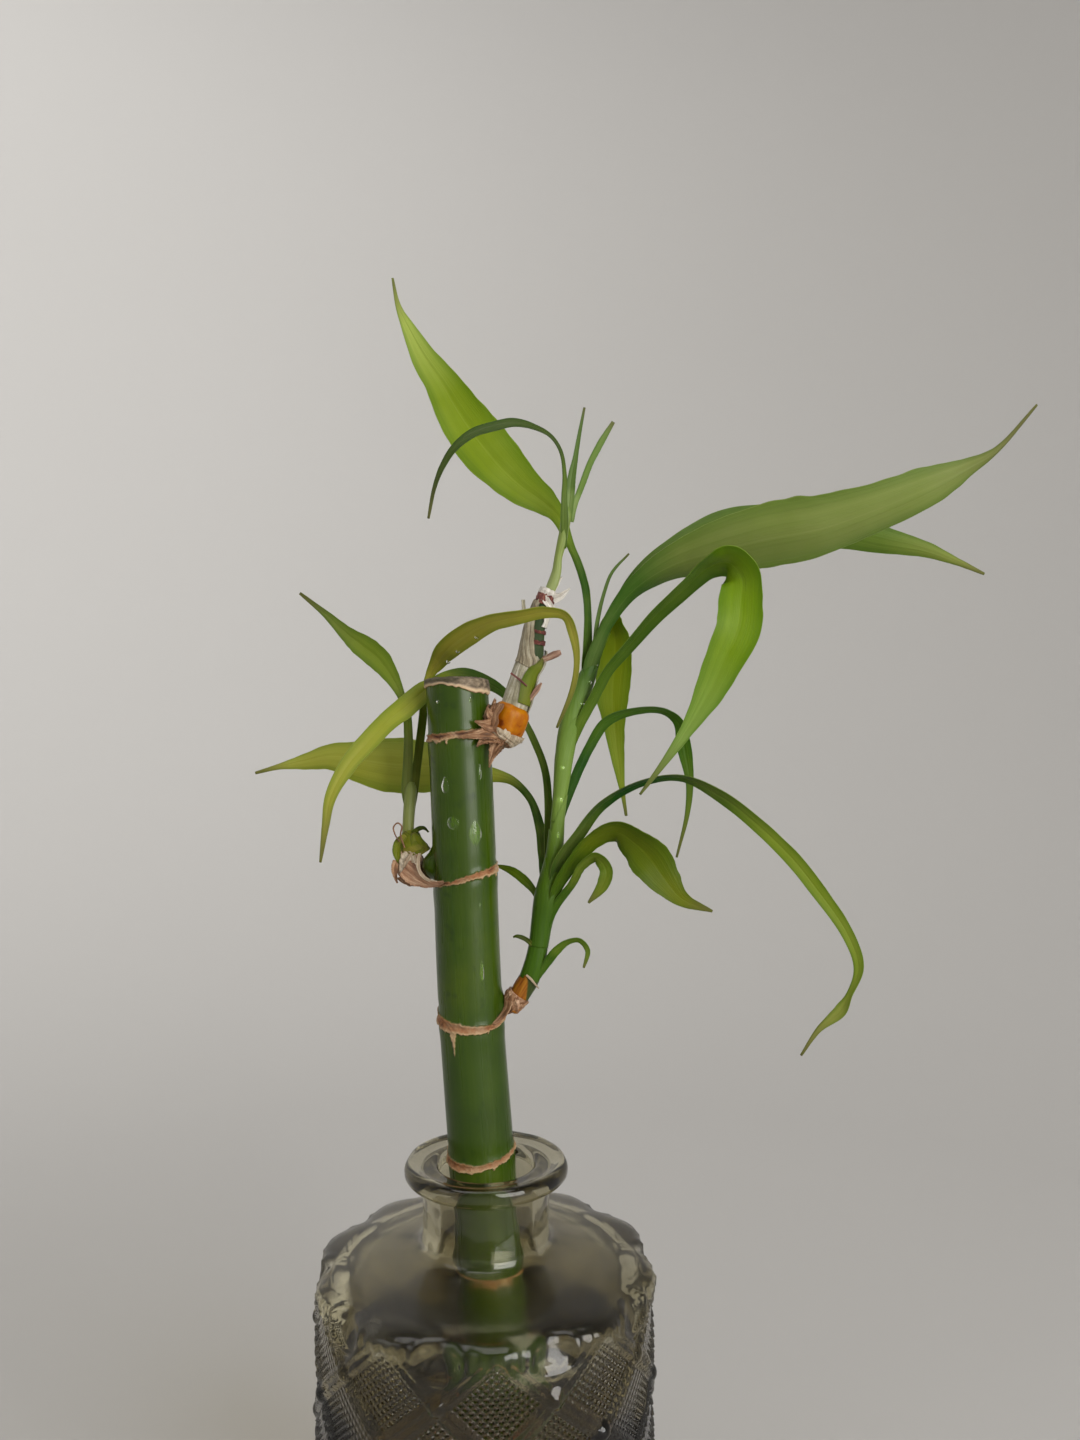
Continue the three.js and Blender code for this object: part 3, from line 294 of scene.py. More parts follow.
def ridge(distance, middle, width):
    """A rounded ridge: a bell curve of the distance from its middle line."""
    return np.exp(-((distance - middle) / width) ** 2)


def bottle_net(angle, height):
    """The net's own coordinates at an angle and a height: both grow by one from a rib to the
    next rib of the same lean, so ribs run where one of them is whole, and studs where both are."""
    turn = (angle - FIRST_STUD) * REPEATS / (2 * np.pi)
    drop = (NET_TOP - height) / (2 * NET_STEP)
    return turn + drop, turn - drop


def bottle_relief(angle, height):
    """How far the pressed pattern stands out of the wall, in millimetres: two ridges along every
    rib of the net, a dome on every crossing, and a dished oval in every half diamond at the top.
    Also the share of hobnail dots, which fill the full diamonds between the ribs."""
    a, b = bottle_net(angle, height)
    per_mm = math.hypot(REPEATS / (2 * np.pi * WALL_RADIUS), 1 / (2 * NET_STEP))
    far_a, far_b = abs(a - np.round(a)) / per_mm, abs(b - np.round(b)) / per_mm
    ribs = RIB_HEIGHT * np.maximum(ridge(far_a, RIB_APART, RIB_WIDTH), ridge(far_b, RIB_APART, RIB_WIDTH))
    # From the nearest crossing, whose rows are shifted by half a diamond in turn.
    row = np.round((NET_TOP - height) / NET_STEP)
    shift = np.where(row % 2 == 0, 0.0, 0.5)
    side = (a + b) / 2 - shift - np.round((a + b) / 2 - shift)
    from_stud = np.hypot(side * 2 * np.pi * WALL_RADIUS / REPEATS, height - (NET_TOP - row * NET_STEP))
    stud = np.clip(1 - (from_stud / STUD_RADIUS) ** 2, 0, 1) ** 0.5
    ribs *= np.clip((from_stud - 1.8) / 0.8, 0, 1)
    # From the middle of the nearest thumbprint, 1 at its rim.
    across = (a + b) / 2 - np.round((a + b) / 2)
    half = abs(abs(across) - 0.5) * 2 * np.pi * WALL_RADIUS / REPEATS
    oval = np.hypot(half / PRINT_SIZE[0], (height - PRINT_HEIGHT) / PRINT_SIZE[1])
    thumbprint = 0.7 * ridge(oval, 1.0, 0.16) - 0.9 * np.clip(1 - oval ** 2, 0, 1)
    clear = np.clip((oval - 0.95) / 0.1, 0, 1)
    above_heel = np.clip((height - 7) / 6, 0, 1)
    near_top = np.clip((NET_TOP + 0.5 - height) / 3, 0, 1)
    relief = (ribs * near_top * clear + STUD_HEIGHT * stud * (height < NET_TOP - 3)) * above_heel
    relief += thumbprint * (height > 109)
    dots = np.clip((np.minimum(far_a, far_b) - 1.9) / 0.5, 0, 1) * np.clip((from_stud - 2.6) / 0.5, 0, 1)
    half_diamond = (height > NET_TOP - NET_STEP) & (np.floor(a) - np.floor(b) < 0.5)
    return relief, dots * above_heel * np.where(half_diamond, 0, 1) * (height < NET_TOP - 1.5)


points = turned(profile, BOTTLE_COLUMNS)
angle = circle(BOTTLE_COLUMNS)
out, height = profile[:, :1], profile[:, 1:]
outside = is_outside[:, None]
relief, dots = bottle_relief(angle, height)
on_body = outside & (height > 6) & (height < 119.4) & (out > 40)
# The shoulder's edge is scalloped, with a lobe over every thumbprint.
at_edge = np.exp(-((height - 118.0) / 2.6) ** 2) * (out > 36) * outside
radial = relief * on_body + 1.5 * np.cos(REPEATS * (angle - FIRST_STUD)) * at_edge
# Old moulds leave the wall slightly uneven, inside more than outside.
waves = (np.sin(3 * angle + 0.11 * height) + np.sin(7 * angle - 0.16 * height + 2)
         + 0.7 * np.sin(13 * angle + 0.07 * height + 4))
radial = radial + np.where(outside, 0.03, 0.14) * waves * np.clip(out / 30, 0, 1)
points[..., 0] += radial * np.sin(angle)
points[..., 1] -= radial * np.cos(angle)
net_angle = np.linspace(0, 2 * np.pi, BOTTLE_COLUMNS + 1)[None, :]
net_uv = np.stack(bottle_net(net_angle, height), -1)


def maths(operation, *values):
    """One sum of a Math node."""
    tree = next(value.id_data for value in values if isinstance(value, bpy.types.NodeSocket))
    return node(tree, "Math", dict(enumerate(values)), operation=operation).outputs[0]


def over(below, above, mask, share=None, blend_type="MIX"):
    """A colour with another blended over it, by a mask or by a share of one."""
    if share is not None:
        mask = maths("MULTIPLY", mask, share)
    made = node(mask.id_data, "Mix", {0: mask, 6: below, 7: above}, data_type="RGBA", blend_type=blend_type)
    return made.outputs[2]


def ranged(value, start, end, low=0.0, high=1.0):
    """From low to high while a value goes from start to end."""
    return node(value.id_data, "MapRange", {"Value": value, 1: start, 2: end, 3: low, 4: high}).outputs[0]


def field(tree, name):
    """A number that the skin holds at its points."""
    return node(tree, "Attribute", attribute_name=name).outputs["Fac"]


def on_skin(tree):
    """The coordinates that run round and along the skin."""
    return node(tree, "UVMap", uv_map="surface").outputs["UV"]


def bump(height, strength, distance, **more):
    """The skin's normals over a relief, which is distance metres high where height is 1."""
    inputs = {"Strength": strength, "Distance": distance, "Height": height, **more}
    return node(height.id_data, "Bump", inputs).outputs["Normal"]


def lit_through(shader, tint, murk=None, density=0.0):
    """Lets lamp light pass a clear shader, tinted, so that what stands behind it isn't in the
    dark, and gives what it encloses a murk that takes more light the longer the way is."""
    tree = shader.id_data
    surface = tree.nodes["Material Output"].inputs
    shade = node(tree, "LightPath").outputs["Is Shadow Ray"]
    clear = node(tree, "BsdfTransparent", {"Color": tint})
    both = node(tree, "MixShader", {0: shade, 1: shader.outputs["BSDF"], 2: clear.outputs["BSDF"]})
    tree.links.new(both.outputs["Shader"], surface["Surface"])
    if murk:
        smoke = node(tree, "VolumeAbsorption", {"Color": murk, "Density": density})
        tree.links.new(smoke.outputs["Volume"], surface["Volume"])


def bells(value, count):
    """Even bells along a coordinate: half of one plus the cosine of count turns of it."""
    wave = maths("COSINE", maths("MULTIPLY", value, 2 * math.pi * count))
    return maths("MULTIPLY_ADD", wave, 0.5, 0.5)


glass, tree, shader = new_material("pressed_glass", Roughness=0.05, IOR=1.5, Transmission_Weight=1.0)
net = node(tree, "SeparateXYZ", {"Vector": on_skin(tree)}).outputs
dot = maths("MULTIPLY", bells(net["X"], DOTS_PER_RIB), bells(net["Y"], DOTS_PER_RIB))
# The body is tinted darker and browner below the shoulder, a painted shade, and the shoulder is slightly
# clouded.
film = over((0.615, 0.585, 0.455, 1), (0.32, 0.265, 0.125, 1), field(tree, "film"))
wavy = bump(noise(tree, 36.0, 1.5, distortion=0.8), 0.17, 0.003)
pressed = bump(maths("MULTIPLY", dot, field(tree, "dots")), 1.0, 0.0006, Normal=wavy)
feed(shader, Base_Color=film, Roughness=ranged(field(tree, "shoulder"), 0, 1, 0.045, 0.15), Normal=pressed)
lit_through(shader, (0.94, 0.93, 0.88, 1), murk=(0.60, 0.55, 0.28, 1), density=40.0)

# The painted shade covers the body up to 108 mm and fades out by 114 mm.
bottle = skin("bottle", points, glass, uv=net_uv, dots=dots * on_body,
              film=on_body * np.clip((114 - height) / 6, 0, 1),
              shoulder=np.clip(np.minimum(height - 113.5, 125 - height) / 3, 0, 1))
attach(bottle, "root")
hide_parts("glass_vase")


# ---- The water ------------------------------------------------------------------------------
# Clear water, faintly green from standing, that fills the body to below the shoulder and
# creeps up a little where it meets the glass.

WATER_LEVEL = 92

clear_water, tree, shader = new_material("standing_water", Base_Color=(0.93, 0.95, 0.88, 1), Roughness=0.0,
                                         IOR=1.333, Transmission_Weight=1.0)
feed(shader, Normal=bump(noise(tree, 40.0, 1.0), 0.03, 0.001))
lit_through(shader, (0.98, 0.98, 0.96, 1), murk=(0.64, 0.52, 0.26, 1), density=15.0)
level = np.array([(0.2, 6.1), (30, 6.1), (36.6, 6.5), (39.5, 9.1), (39.85, 14), (39.85, WATER_LEVEL + 0.9),
                  (39.0, WATER_LEVEL + 0.35), (37.6, WATER_LEVEL), (0.2, WATER_LEVEL)])
water = skin("standing_water", turned(level, 128), clear_water)
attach(water, "root")
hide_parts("water")


# ---- The cane -------------------------------------------------------------------------------
# A smooth waxy green stem, slightly bent. Round every node runs the raised, ragged brown scar
# of an old leaf, and the cut top has healed under a dry cream and grey callus.

CANE_FOOT, CANE_TOP = 11, 271.4
CANE_RADIUS_LOW, CANE_RADIUS_TOP = 9.15, 8.2
CANE_ROUTE = [[9, 1.6, 11], [4, 1.6, 74], [-1.3, 1.6, 146], [-4.2, 1.6, 186],
              [-5.6, 1.6, 220], [-7.1, 1.6, 255], [-7.9, 1.6, 272]]
# Each scar: its height, how much it rises to +X and dips at the front, how thick it is at the
# front and how much more at +X, and how dark the groove in it is.
CANE_SCARS = np.array([[38, 1, 0.4, 1.9, 0.3, 0.5], [74, -1, 0.6, 1.8, -0.4, 0.5],
                       [113.2, -0.2, 1.6, 1.1, 0.1, 0.3], [146.7, 1.35, 1.7, 1.8, -0.7, 0.2],
                       [182.2, -0.1, 1.9, 2.2, -1.1, 0.2], [219, 2.4, 0.1, 1.3, 0.7, 0.35],
                       [256, 0.95, -0.1, 2.0, 0.2, 1]])
# Torn teeth on the scars' lower edges: scar, middle and half width in degrees, and length.
SCAR_TEETH = [[6, -109, 3.5, 1.5], [6, -130, 7, 0.7], [5, -19, 3, 1.4], [5, -42, 5, 0.4], [5, -56, 5, 0.5],
              [4, -120, 7, 5.4], [4, -58, 3, 0.7], [3, -104, 5, 0.8], [3, -66, 4, 0.6], [2, -80, 4, 0.6]]
# Swellings under the left and the right shoot: middle and radius, and how softly they blend in.
CANE_SWELLINGS = [[-13.2, 2.3, 221.6, 3.9], [2.6, 1.0, 184.6, 3.6]]
SWELLING_BLEND = 0.8
# The callus starts at a wavy line round the top: its height at each angle.
LIP_ANGLES = [-180, -150, -114, -94, -55, -10, 30, 90, 150, 180]
LIP_HEIGHTS = [268.2, 268.6, 269.3, 268.7, 267.2, 266.6, 267.2, 268.0, 267.6, 268.2]
CANE_COLUMNS = 216
DOME_HEIGHT = 0.9
UV_RADIUS = 8.7                    # millimetres round the cane for each radian
SHEEN, DARKEST = 0.008, 0.0015     # grey light off the skin, and the least that a colour keeps


def smooth_path(stations, count):
    """Even steps along a centripetal Catmull-Rom curve through stations, from one station to
    the next, with every further value of a station carried along like its x, y and z."""
    knots = np.array(stations, float)
    knots = np.vstack([2 * knots[0] - knots[1], knots, 2 * knots[-1] - knots[-2]])
    gaps = np.sqrt(np.linalg.norm(np.diff(knots[:, :3], axis=0), axis=1))
    t = np.linspace(0, len(stations) - 1, count)
    i = np.minimum(t.astype(int), len(stations) - 2)
    w = (t - i)[:, None]
    p0, p1, p2, p3 = (knots[i + k] for k in range(4))
    d0, d1, d2 = (gaps[i + k][:, None] for k in range(3))
    leave = ((p1 - p0) / d0 - (p2 - p0) / (d0 + d1) + (p2 - p1) / d1) * d1
    arrive = ((p2 - p1) / d1 - (p3 - p1) / (d1 + d2) + (p3 - p2) / d2) * d1
    return ((2 * w ** 3 - 3 * w ** 2 + 1) * p1 + (w ** 3 - 2 * w ** 2 + w) * leave
            + (3 * w ** 2 - 2 * w ** 3) * p2 + (w ** 3 - w ** 2) * arrive)


def ragged(angle, seed, slowest=3, fastest=36):
    """An uneven edge round a closed line, about one high: sines of whole numbers of waves, each
    lower the faster it is, with phases drawn from the seed."""
    waves = np.arange(slowest, fastest)
    phase = np.random.default_rng(seed).uniform(0, 2 * np.pi, waves.size)
    size = 1 / np.sqrt(waves)
    terms = size * np.sin(waves * angle[..., None] + phase)
    return terms.sum(-1) / math.sqrt((size ** 2).sum() / 2) / 2


def step(value, start, end):
    """0 before start, 1 after end, and smooth between."""
    share = np.clip((value - start) / (end - start), 0, 1)
    return share * share * (3 - 2 * share)


route = smooth_path(CANE_ROUTE, 400)
angle = circle(CANE_COLUMNS)   # from +X towards +Y
# Rows lie close at every scar, under the third of them and near the top, and wider between.
scar_heights = CANE_SCARS[:, 0]
near_scar = (np.arange(-2.4, 2.1, 0.19) + scar_heights[:, None]).ravel()
between = np.r_[np.arange(CANE_FOOT, CANE_TOP - 6, 1.8), np.arange(-6.4, -2.7, 0.35) + scar_heights[4]]
between = between[np.abs(between[:, None] - scar_heights).min(1) > 2.6]
near_top = np.arange(CANE_TOP - 6, CANE_TOP - DOME_HEIGHT, 0.24)
rise = np.sort(np.r_[near_scar, between, near_top])
dome = np.linspace(0, np.pi / 2, 18)
level = np.r_[rise, CANE_TOP - DOME_HEIGHT + DOME_HEIGHT * np.sin(dome)][:, None]
inward = np.r_[0 * rise, 1 - np.cos(dome)][:, None]
taper = np.interp(level, [CANE_FOOT, CANE_TOP], [CANE_RADIUS_LOW, CANE_RADIUS_TOP])
tilt, dip = (np.interp(level, scar_heights, CANE_SCARS[:, k]) * step(CANE_TOP - level, 1, 9) for k in (1, 2))
up = np.maximum(level + tilt * np.cos(angle) + dip * np.sin(angle), CANE_FOOT)

radius = taper + 0.05 * ragged(angle + 0.01 * level, 5, 2, 9) + 0 * up
scar, fringe, groove = 0 * up, 0 * up, 0 * up
for k, (high, _, _, thick, more, dark) in enumerate(CANE_SCARS):
    # The scar's edges, and how far up between them each point is.
    half = (thick + more * np.cos(angle)) / 2
    top_edge = high + half + 0.22 * ragged(angle, 20 + k, 3, 60)
    low_edge = band_foot = high - half - 0.26 * ragged(angle, 40 + k, 4, 70)
    for which, place, wide, long in SCAR_TEETH:
        if which == k:
            off = abs((np.degrees(angle) - place + 180) % 360 - 180)
            low_edge = low_edge - long * np.clip(1 - off / wide, 0, 1) ** 1.4
    band = step(level, low_edge - 0.1, low_edge + 0.14) * step(top_edge - level, -0.1, 0.14)
    share = np.clip((level - band_foot) / (top_edge - band_foot), 0, 1)
    uneven = ragged(angle + 0.16 * level, 60 + k, 5, 60)
    scar = np.maximum(scar, band)
    fringe = np.maximum(fringe, band * (1 - step(share, 0.08, 0.34)))
    patchy = np.clip(0.55 + 0.9 * ragged(angle, 80 + k, 2, 9), 0, 1)
    groove = np.maximum(groove, dark * band * ridge(share, 0.62, 0.2) * patchy)
    # It stands out by a thick lower lip, a groove and a thin upper lip, on a swollen node.
    radius += band * (0.24 + 0.26 * ridge(share, 0.12, 0.16) + 0.16 * ridge(share, 0.95, 0.12)
                      - 0.22 * ridge(share, 0.62, 0.18) + 0.12 * uneven)
    radius += 0.22 * ridge(level - high, -2.4, 2.6) - 0.12 * ridge(level - high, half + 1.6, 1.2)
middle = np.stack([np.interp(up, route[:, 2], route[:, k]) for k in (0, 1)])
for x, y, z, size in CANE_SWELLINGS:
    # How far out the ball's skin is, where the point's own direction meets it.
    ahead = (x - middle[0]) * np.cos(angle) + (y - middle[1]) * np.sin(angle)
    aside = np.hypot(x - middle[0], y - middle[1]) ** 2 - ahead ** 2
    inside_ball = size ** 2 - aside - (z - up) ** 2
    ball = np.where(inside_ball > 0, ahead + np.sqrt(np.maximum(inside_ball, 0)), 0)
    near = np.clip(SWELLING_BLEND - abs(radius - ball), 0, SWELLING_BLEND)
    radius = np.maximum(radius, ball) + near ** 2 / (4 * SWELLING_BLEND)
lip = np.interp((angle + np.pi) % (2 * np.pi) - np.pi, np.radians(LIP_ANGLES), LIP_HEIGHTS)
lip = lip + 0.18 * ragged(angle, 7, 6, 40)
callus = np.clip((up - lip) / (CANE_TOP - lip), -0.2, 1)
radius += 0.45 * step(callus, 0.0, 0.08) * (1 - step(callus, 0.5, 0.95)) - 0.35 * step(inward, 0, 0.6)
crust = ragged(angle + 3 * inward + 0.6 * level, 9, 4, 30)
radius = radius * (1 - inward) + 0.16 * crust * step(callus, 0.05, 0.2) * (1 - inward)
# The crust's left side, where its colour turns darker and olive.
moss = step(-np.cos(angle), -0.45, 0.5) * step(callus, 0.2, 0.5)
up = up + 0.25 * crust * step(inward, 0.02, 0.3) * (1 - 0.6 * inward)
points = np.stack([middle[0] + radius * np.cos(angle), middle[1] + radius * np.sin(angle), up], -1)
cane_u = np.linspace(0, 2 * np.pi, CANE_COLUMNS + 1)[None, :] * UV_RADIUS + 0 * level
cane_uv = np.stack([cane_u, level + 0 * cane_u], -1)


def node_group(name, inputs, outputs):
    """An empty node group with named inputs and outputs, each a name, a socket kind and a value."""
    group = bpy.data.node_groups.new(name, "ShaderNodeTree")
    for title, kind, value in inputs:
        socket = group.interface.new_socket(title, in_out="INPUT", socket_type="NodeSocket" + kind)
        if value is not None:
            socket.default_value = value
    for title, kind in outputs:
        group.interface.new_socket(title, in_out="OUTPUT", socket_type="NodeSocket" + kind)
    return group, group.nodes.new("NodeGroupInput").outputs, group.nodes.new("NodeGroupOutput").inputs


def weighed(first, second, share):
    """A sum of two values, the first with a share of the weight and the second with the rest."""
    return maths("ADD", maths("MULTIPLY", first, share), maths("MULTIPLY", second, 1 - share))


# Fibres that run along a surface: two sizes of noise, each stretched along the second coordinate.
group, given, out = node_group("plant_fibres", [("Surface", "Vector", None), ("Width", "Float", 0.5),
                                                ("Length", "Float", 20.0)], [("Fibres", "Float")])
scale = node(group, "CombineXYZ", {0: maths("DIVIDE", 1.0, given["Width"]),
                                   1: maths("DIVIDE", 1.0, given["Length"]), 2: 1.0})
laid = node(group, "VectorMath", {0: given["Surface"], 1: scale.outputs[0]}, operation="MULTIPLY").outputs[0]
coarse = node(group, "TexNoise", {"Vector": laid, "Scale": 0.45, "Detail": 1.0}).outputs["Fac"]
fine = node(group, "TexNoise", {"Vector": laid, "Scale": 1.4, "Detail": 2.0, "Roughness": 0.6}).outputs["Fac"]
group.links.new(ranged(weighed(coarse, fine, 0.55), 0.32, 0.68), out["Fibres"])

# Specks: the few cells of a cell pattern whose own random number is under the share asked for.
group, given, out = node_group("skin_specks", [("Place", "Vector", None), ("Size", "Float", 0.001),
                                               ("Share", "Float", 0.1)], [("Specks", "Float")])
fineness = maths("DIVIDE", 0.4, given["Size"])
cells = node(group, "TexVoronoi", {"Vector": given["Place"], "Scale": fineness}).outputs
chance = node(group, "SeparateColor", {0: cells["Color"]}).outputs[0]
chosen = maths("LESS_THAN", chance, given["Share"])
group.links.new(maths("MULTIPLY", chosen, ranged(cells["Distance"], 0.32, 0.12)), out["Specks"])


def grouped(tree, name, **inputs):
    """The first output of a node group placed in a tree."""
    return node(tree, "Group", inputs, node_tree=bpy.data.node_groups[name]).outputs[0]


def fibrous(tree, width, length):
    """Fibres along the skin, about width apart and as long as length, in millimetres."""
    return grouped(tree, "plant_fibres", Surface=on_skin(tree), Width=width, Length=length)


def fresh(red, green, blue):
    """The plant's own colour under one seen in the photograph, less the grey sheen of its skin."""
    return (*[max(DARKEST, value - SHEEN) for value in colour(red, green, blue)[:3]], 1.0)


cane_skin, tree, shader = new_material("cane_skin", Roughness=0.3, Specular_IOR_Level=0.36)
# Waxy green, in broad clouds and long streaks, with a few dark blots and pale specks.
fibres = fibrous(tree, 1.3, 45.0)
green = ramp(noise(tree, 42.0, 3.0), [(0.32, fresh(42, 62, 5)), (0.5, fresh(55, 77, 3)),
                                      (0.7, fresh(74, 92, 3))])
green = over(green, fresh(76, 94, 6), fibrous(tree, 3.6, 70.0), 0.45)
green = over(green, fresh(40, 60, 14), fibres, 0.3)
green = over(green, fresh(34, 52, 20), ranged(noise(tree, 260.0, 3.0), 0.62, 0.74, high=0.5))
place = node(tree, "TexCoord").outputs["Object"]
specks = grouped(tree, "skin_specks", Place=place, Size=0.0014, Share=0.004)
green = over(green, colour(168, 150, 122), specks)
# The scars: grainy tan, dark in the groove and pale along the fringe.
grain, mottle = noise(tree, 420.0, 6.0, 0.7), noise(tree, 150.0, 3.0)
tan = ramp(weighed(grain, mottle, 0.5), [(0.38, colour(96, 60, 34)), (0.46, colour(150, 100, 62)),
                                         (0.54, colour(158, 122, 88)), (0.62, colour(190, 160, 130))])
tan = over(tan, colour(66, 36, 24), field(tree, "groove"))
tan = over(tan, colour(190, 164, 126), field(tree, "fringe"), 0.75)
# The callus: a cream lip round a grey crust, darker and olive on its left side.
callus_height = field(tree, "callus")
crusty = ramp(weighed(noise(tree, 560.0, 5.0, 0.7), mottle, 0.7),
              [(0.4, colour(66, 56, 42)), (0.5, colour(112, 98, 80)), (0.62, colour(152, 136, 114))])
crusty = over(crusty, colour(72, 70, 46), field(tree, "moss"), 0.75)
cream = ramp(callus_height, [(0.0, colour(120, 76, 46)), (0.06, colour(206, 178, 142)),
                             (0.2, colour(204, 178, 146)), (0.34, colour(160, 142, 120))])
crusty = over(cream, crusty, ranged(callus_height, 0.16, 0.36))
scar_mask, is_callus = field(tree, "scar"), ranged(callus_height, -0.02, 0.01)
dry = maths("MAXIMUM", scar_mask, is_callus)
relief = maths("ADD", maths("MULTIPLY", fibres, 0.1), maths("MULTIPLY", maths("MULTIPLY", grain, dry), 1.2))
feed(shader, Base_Color=over(over(green, tan, scar_mask), crusty, is_callus),
     Roughness=maths("MULTIPLY_ADD", dry, 0.4, maths("MULTIPLY_ADD", fibres, 0.18, 0.2)),
     Normal=bump(relief, 0.6, 0.0005))

cane = skin("cane_stem", points, cane_skin, uv=cane_uv, scar=scar, fringe=fringe, groove=groove,
            callus=callus, moss=moss)
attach(cane, "root")
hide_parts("cane")


# ---- The roots ------------------------------------------------------------------------------
# A pad of orange-brown roots under the cane's foot: long tapered threads that curl round the
# bottle's floor, with finer side roots.

ROOT_FOOT = (9, 1.6, 10.5)
THICK_ROOTS, ALL_ROOTS = 14, 44
ROOM_RADIUS = 36                   # how far out the roots may reach
# The pad's sections: height and width.
ROOT_PAD = [(6.5, 15), (8, 18), (10, 17.4), (10.9, 15)]

root_skin, tree, shader = new_material("root_skin", Roughness=0.55)
patchy = noise(tree, 220.0, 4.0)
feed(shader, Base_Color=ramp(patchy, [(0.3, colour(150, 66, 28)), (0.6, colour(196, 104, 50)),
                                      (0.8, colour(222, 160, 100))]), Normal=bump(patchy, 0.4, 0.0004))


def along_path(path):
    """The heading of a path, and the two directions square to it: across, in the XZ plane, and
    front, which faces the viewer at -Y."""
    heading = np.gradient(path[:, :3], axis=0)
    heading /= np.linalg.norm(heading, axis=1, keepdims=True)
    across = np.stack([-heading[:, 2], 0 * heading[:, 0], heading[:, 0]], 1)
    across /= np.linalg.norm(across, axis=1, keepdims=True) + 1e-9
    return heading, across, np.cross(heading, across)


def tube(stations, rows, columns, swell=0.0):
    """A round stem through stations [x, y, z, width, depth]: at every point of the path an oval,
    its half axes half the width and depth, each made longer by swell (one value a grid point)."""
    path = smooth_path(stations, rows)
    _, across, front = along_path(path)
    angle = circle(columns)
    wide = (path[:, 3, None] / 2 + swell) * np.cos(angle)
    deep = (path[:, 4, None] / 2 + swell) * np.sin(angle)
    return path[:, None, :3] + wide[..., None] * across[:, None] + deep[..., None] * front[:, None]


def tube_uv(stations, rows, columns):
    """Millimetres round and along a stem, as the second value for each corner of its grid."""
    path = smooth_path(stations, rows)
    around = np.linspace(0, 1, columns + 1) * np.pi * path[:, 3].max()
    return np.stack(np.meshgrid(around, far_along(path[:, :3])), -1)


def joined(name, things):
    """Several pieces made one, under a new name."""
    bpy.ops.object.select_all(action="DESELECT")
    for thing in things:
        thing.select_set(True)
    bpy.context.view_layer.objects.active = things[0]
    bpy.ops.object.join()
    things[0].name = things[0].data.name = name
    things[0].select_set(False)
    return things[0]


draw = np.random.default_rng(11)
threads = []
for k in range(ALL_ROOTS):
    thick = 1.9 if k < THICK_ROOTS else 0.8
    start = 2 * np.pi * (k + 0.4 * draw.random()) / THICK_ROOTS
    swing, reach, lift = draw.uniform(-0.5, 0.5), draw.uniform(17, 27), draw.uniform(2, 13)
    share = np.linspace(0, 1, 6)
    away = 5 + (reach - 5) * share
    turn = start + swing * share * 2 + 0.12 * np.sin(9 * share + k)
    x, y = ROOT_FOOT[0] + away * np.cos(turn), ROOT_FOOT[1] + away * np.sin(turn)
    kept = np.minimum(1, ROOM_RADIUS / np.hypot(x, y))
    z = np.maximum(8.4 + lift * np.sin(np.pi * share ** 0.8) * (1 - 0.3 * share) - share, 7.2)
    width = thick * (1 - 0.65 * share)
    threads.append(skin("root", tube(np.stack([x * kept, y * kept, z, width, width], 1), 30, 8), root_skin))
pad = [[*ROOT_FOOT[:2], height, wide, wide] for height, wide in ROOT_PAD]
uneven = 0.25 * ragged(np.linspace(0, 2 * np.pi, 48), 3)
threads.append(skin("root", tube(pad, 12, 48, uneven), root_skin))
roots = joined("root_threads", threads)
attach(roots, "root")
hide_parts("roots")


# ---- The shoots' stems ----------------------------------------------------------------------
# Slim fresh green stems, each wrapped by the feet of its leaves: paler and yellower than the
# cane, darker towards their foot, with the faint lines of the leaf sheaths along them.

LEFT_STEM = [[-21, 5.4, 226.5, 2.4, 2.2], [-21.2, 6, 229, 3, 2.7], [-21.2, 7, 233, 3.1, 2.8],
             [-21, 8, 237.6, 3.2, 2.9], [-20.8, 8.6, 241.6, 3.1, 2.6], [-20.7, 8.8, 243.2, 1.6, 1.4]]
TOP_STEM = [[16.2, 0.1, 292.8, 2.6, 2.3], [17.6, 0.2, 295.8, 2.9, 2.6], [18.6, 0.2, 299.2, 2.5, 2.3],
            [19, 0.1, 302.6, 2.1, 1.9], [20, 0, 307, 2.5, 2.2], [20.6, 0, 310.2, 2.4, 2.1],
            [21.2, 0.1, 314, 2.6, 2.4], [21.4, 0.1, 316, 1.2, 1.1]]
RIGHT_STEM = [[11.4, 0.1, 192, 5.4, 4.9], [13, 0, 196.8, 5.4, 4.7], [14, 0.3, 202, 5.1, 4.5],
              [14.8, 0.5, 207.2, 5.5, 4.9], [16, 0.6, 212.6, 6.6, 5.6], [17, 0.8, 217.2, 6.1, 5.2],
              [17.8, 1, 222.6, 4.5, 4], [18.4, 1.2, 228.2, 3.8, 3.4], [18.8, 1.6, 234, 3.4, 3],
              [19.4, 2, 239.4, 3.4, 3.1], [20, 2.4, 244.6, 4, 3.5], [20.6, 2.8, 250.2, 4.5, 4],
              [21.4, 3.3, 255.4, 4.9, 4.2], [22.8, 3.8, 261, 5.2, 4.4], [24.6, 4.3, 266.2, 4.9, 4.2],
              [26.6, 4.8, 271.2, 4.2, 3.8], [27.8, 5.1, 274.4, 3.2, 2.9], [28.6, 5.3, 277.4, 1.2, 1.1]]


def stem_skin(name, stops):
    """Fresh stem: a colour for each height along it, fine fibres, and a satin skin."""
    material, tree, shader = new_material(name, Roughness=0.36, Specular_IOR_Level=0.24)
    fibres = fibrous(tree, 0.45, 16.0)
    green = ramp(field(tree, "along"), [(place, fresh(*tone)) for place, tone in stops])
    feed(shader, Base_Color=over(green, (0.55, 0.62, 0.42, 1), fibres, 0.45, "MULTIPLY"),
         Roughness=maths("MULTIPLY_ADD", fibres, 0.15, 0.3), Normal=bump(fibres, 0.35, 0.0003))
    return material


def shares(count):
    """A column of even shares from 0 to 1."""
    return np.linspace(0, 1, count)[:, None]


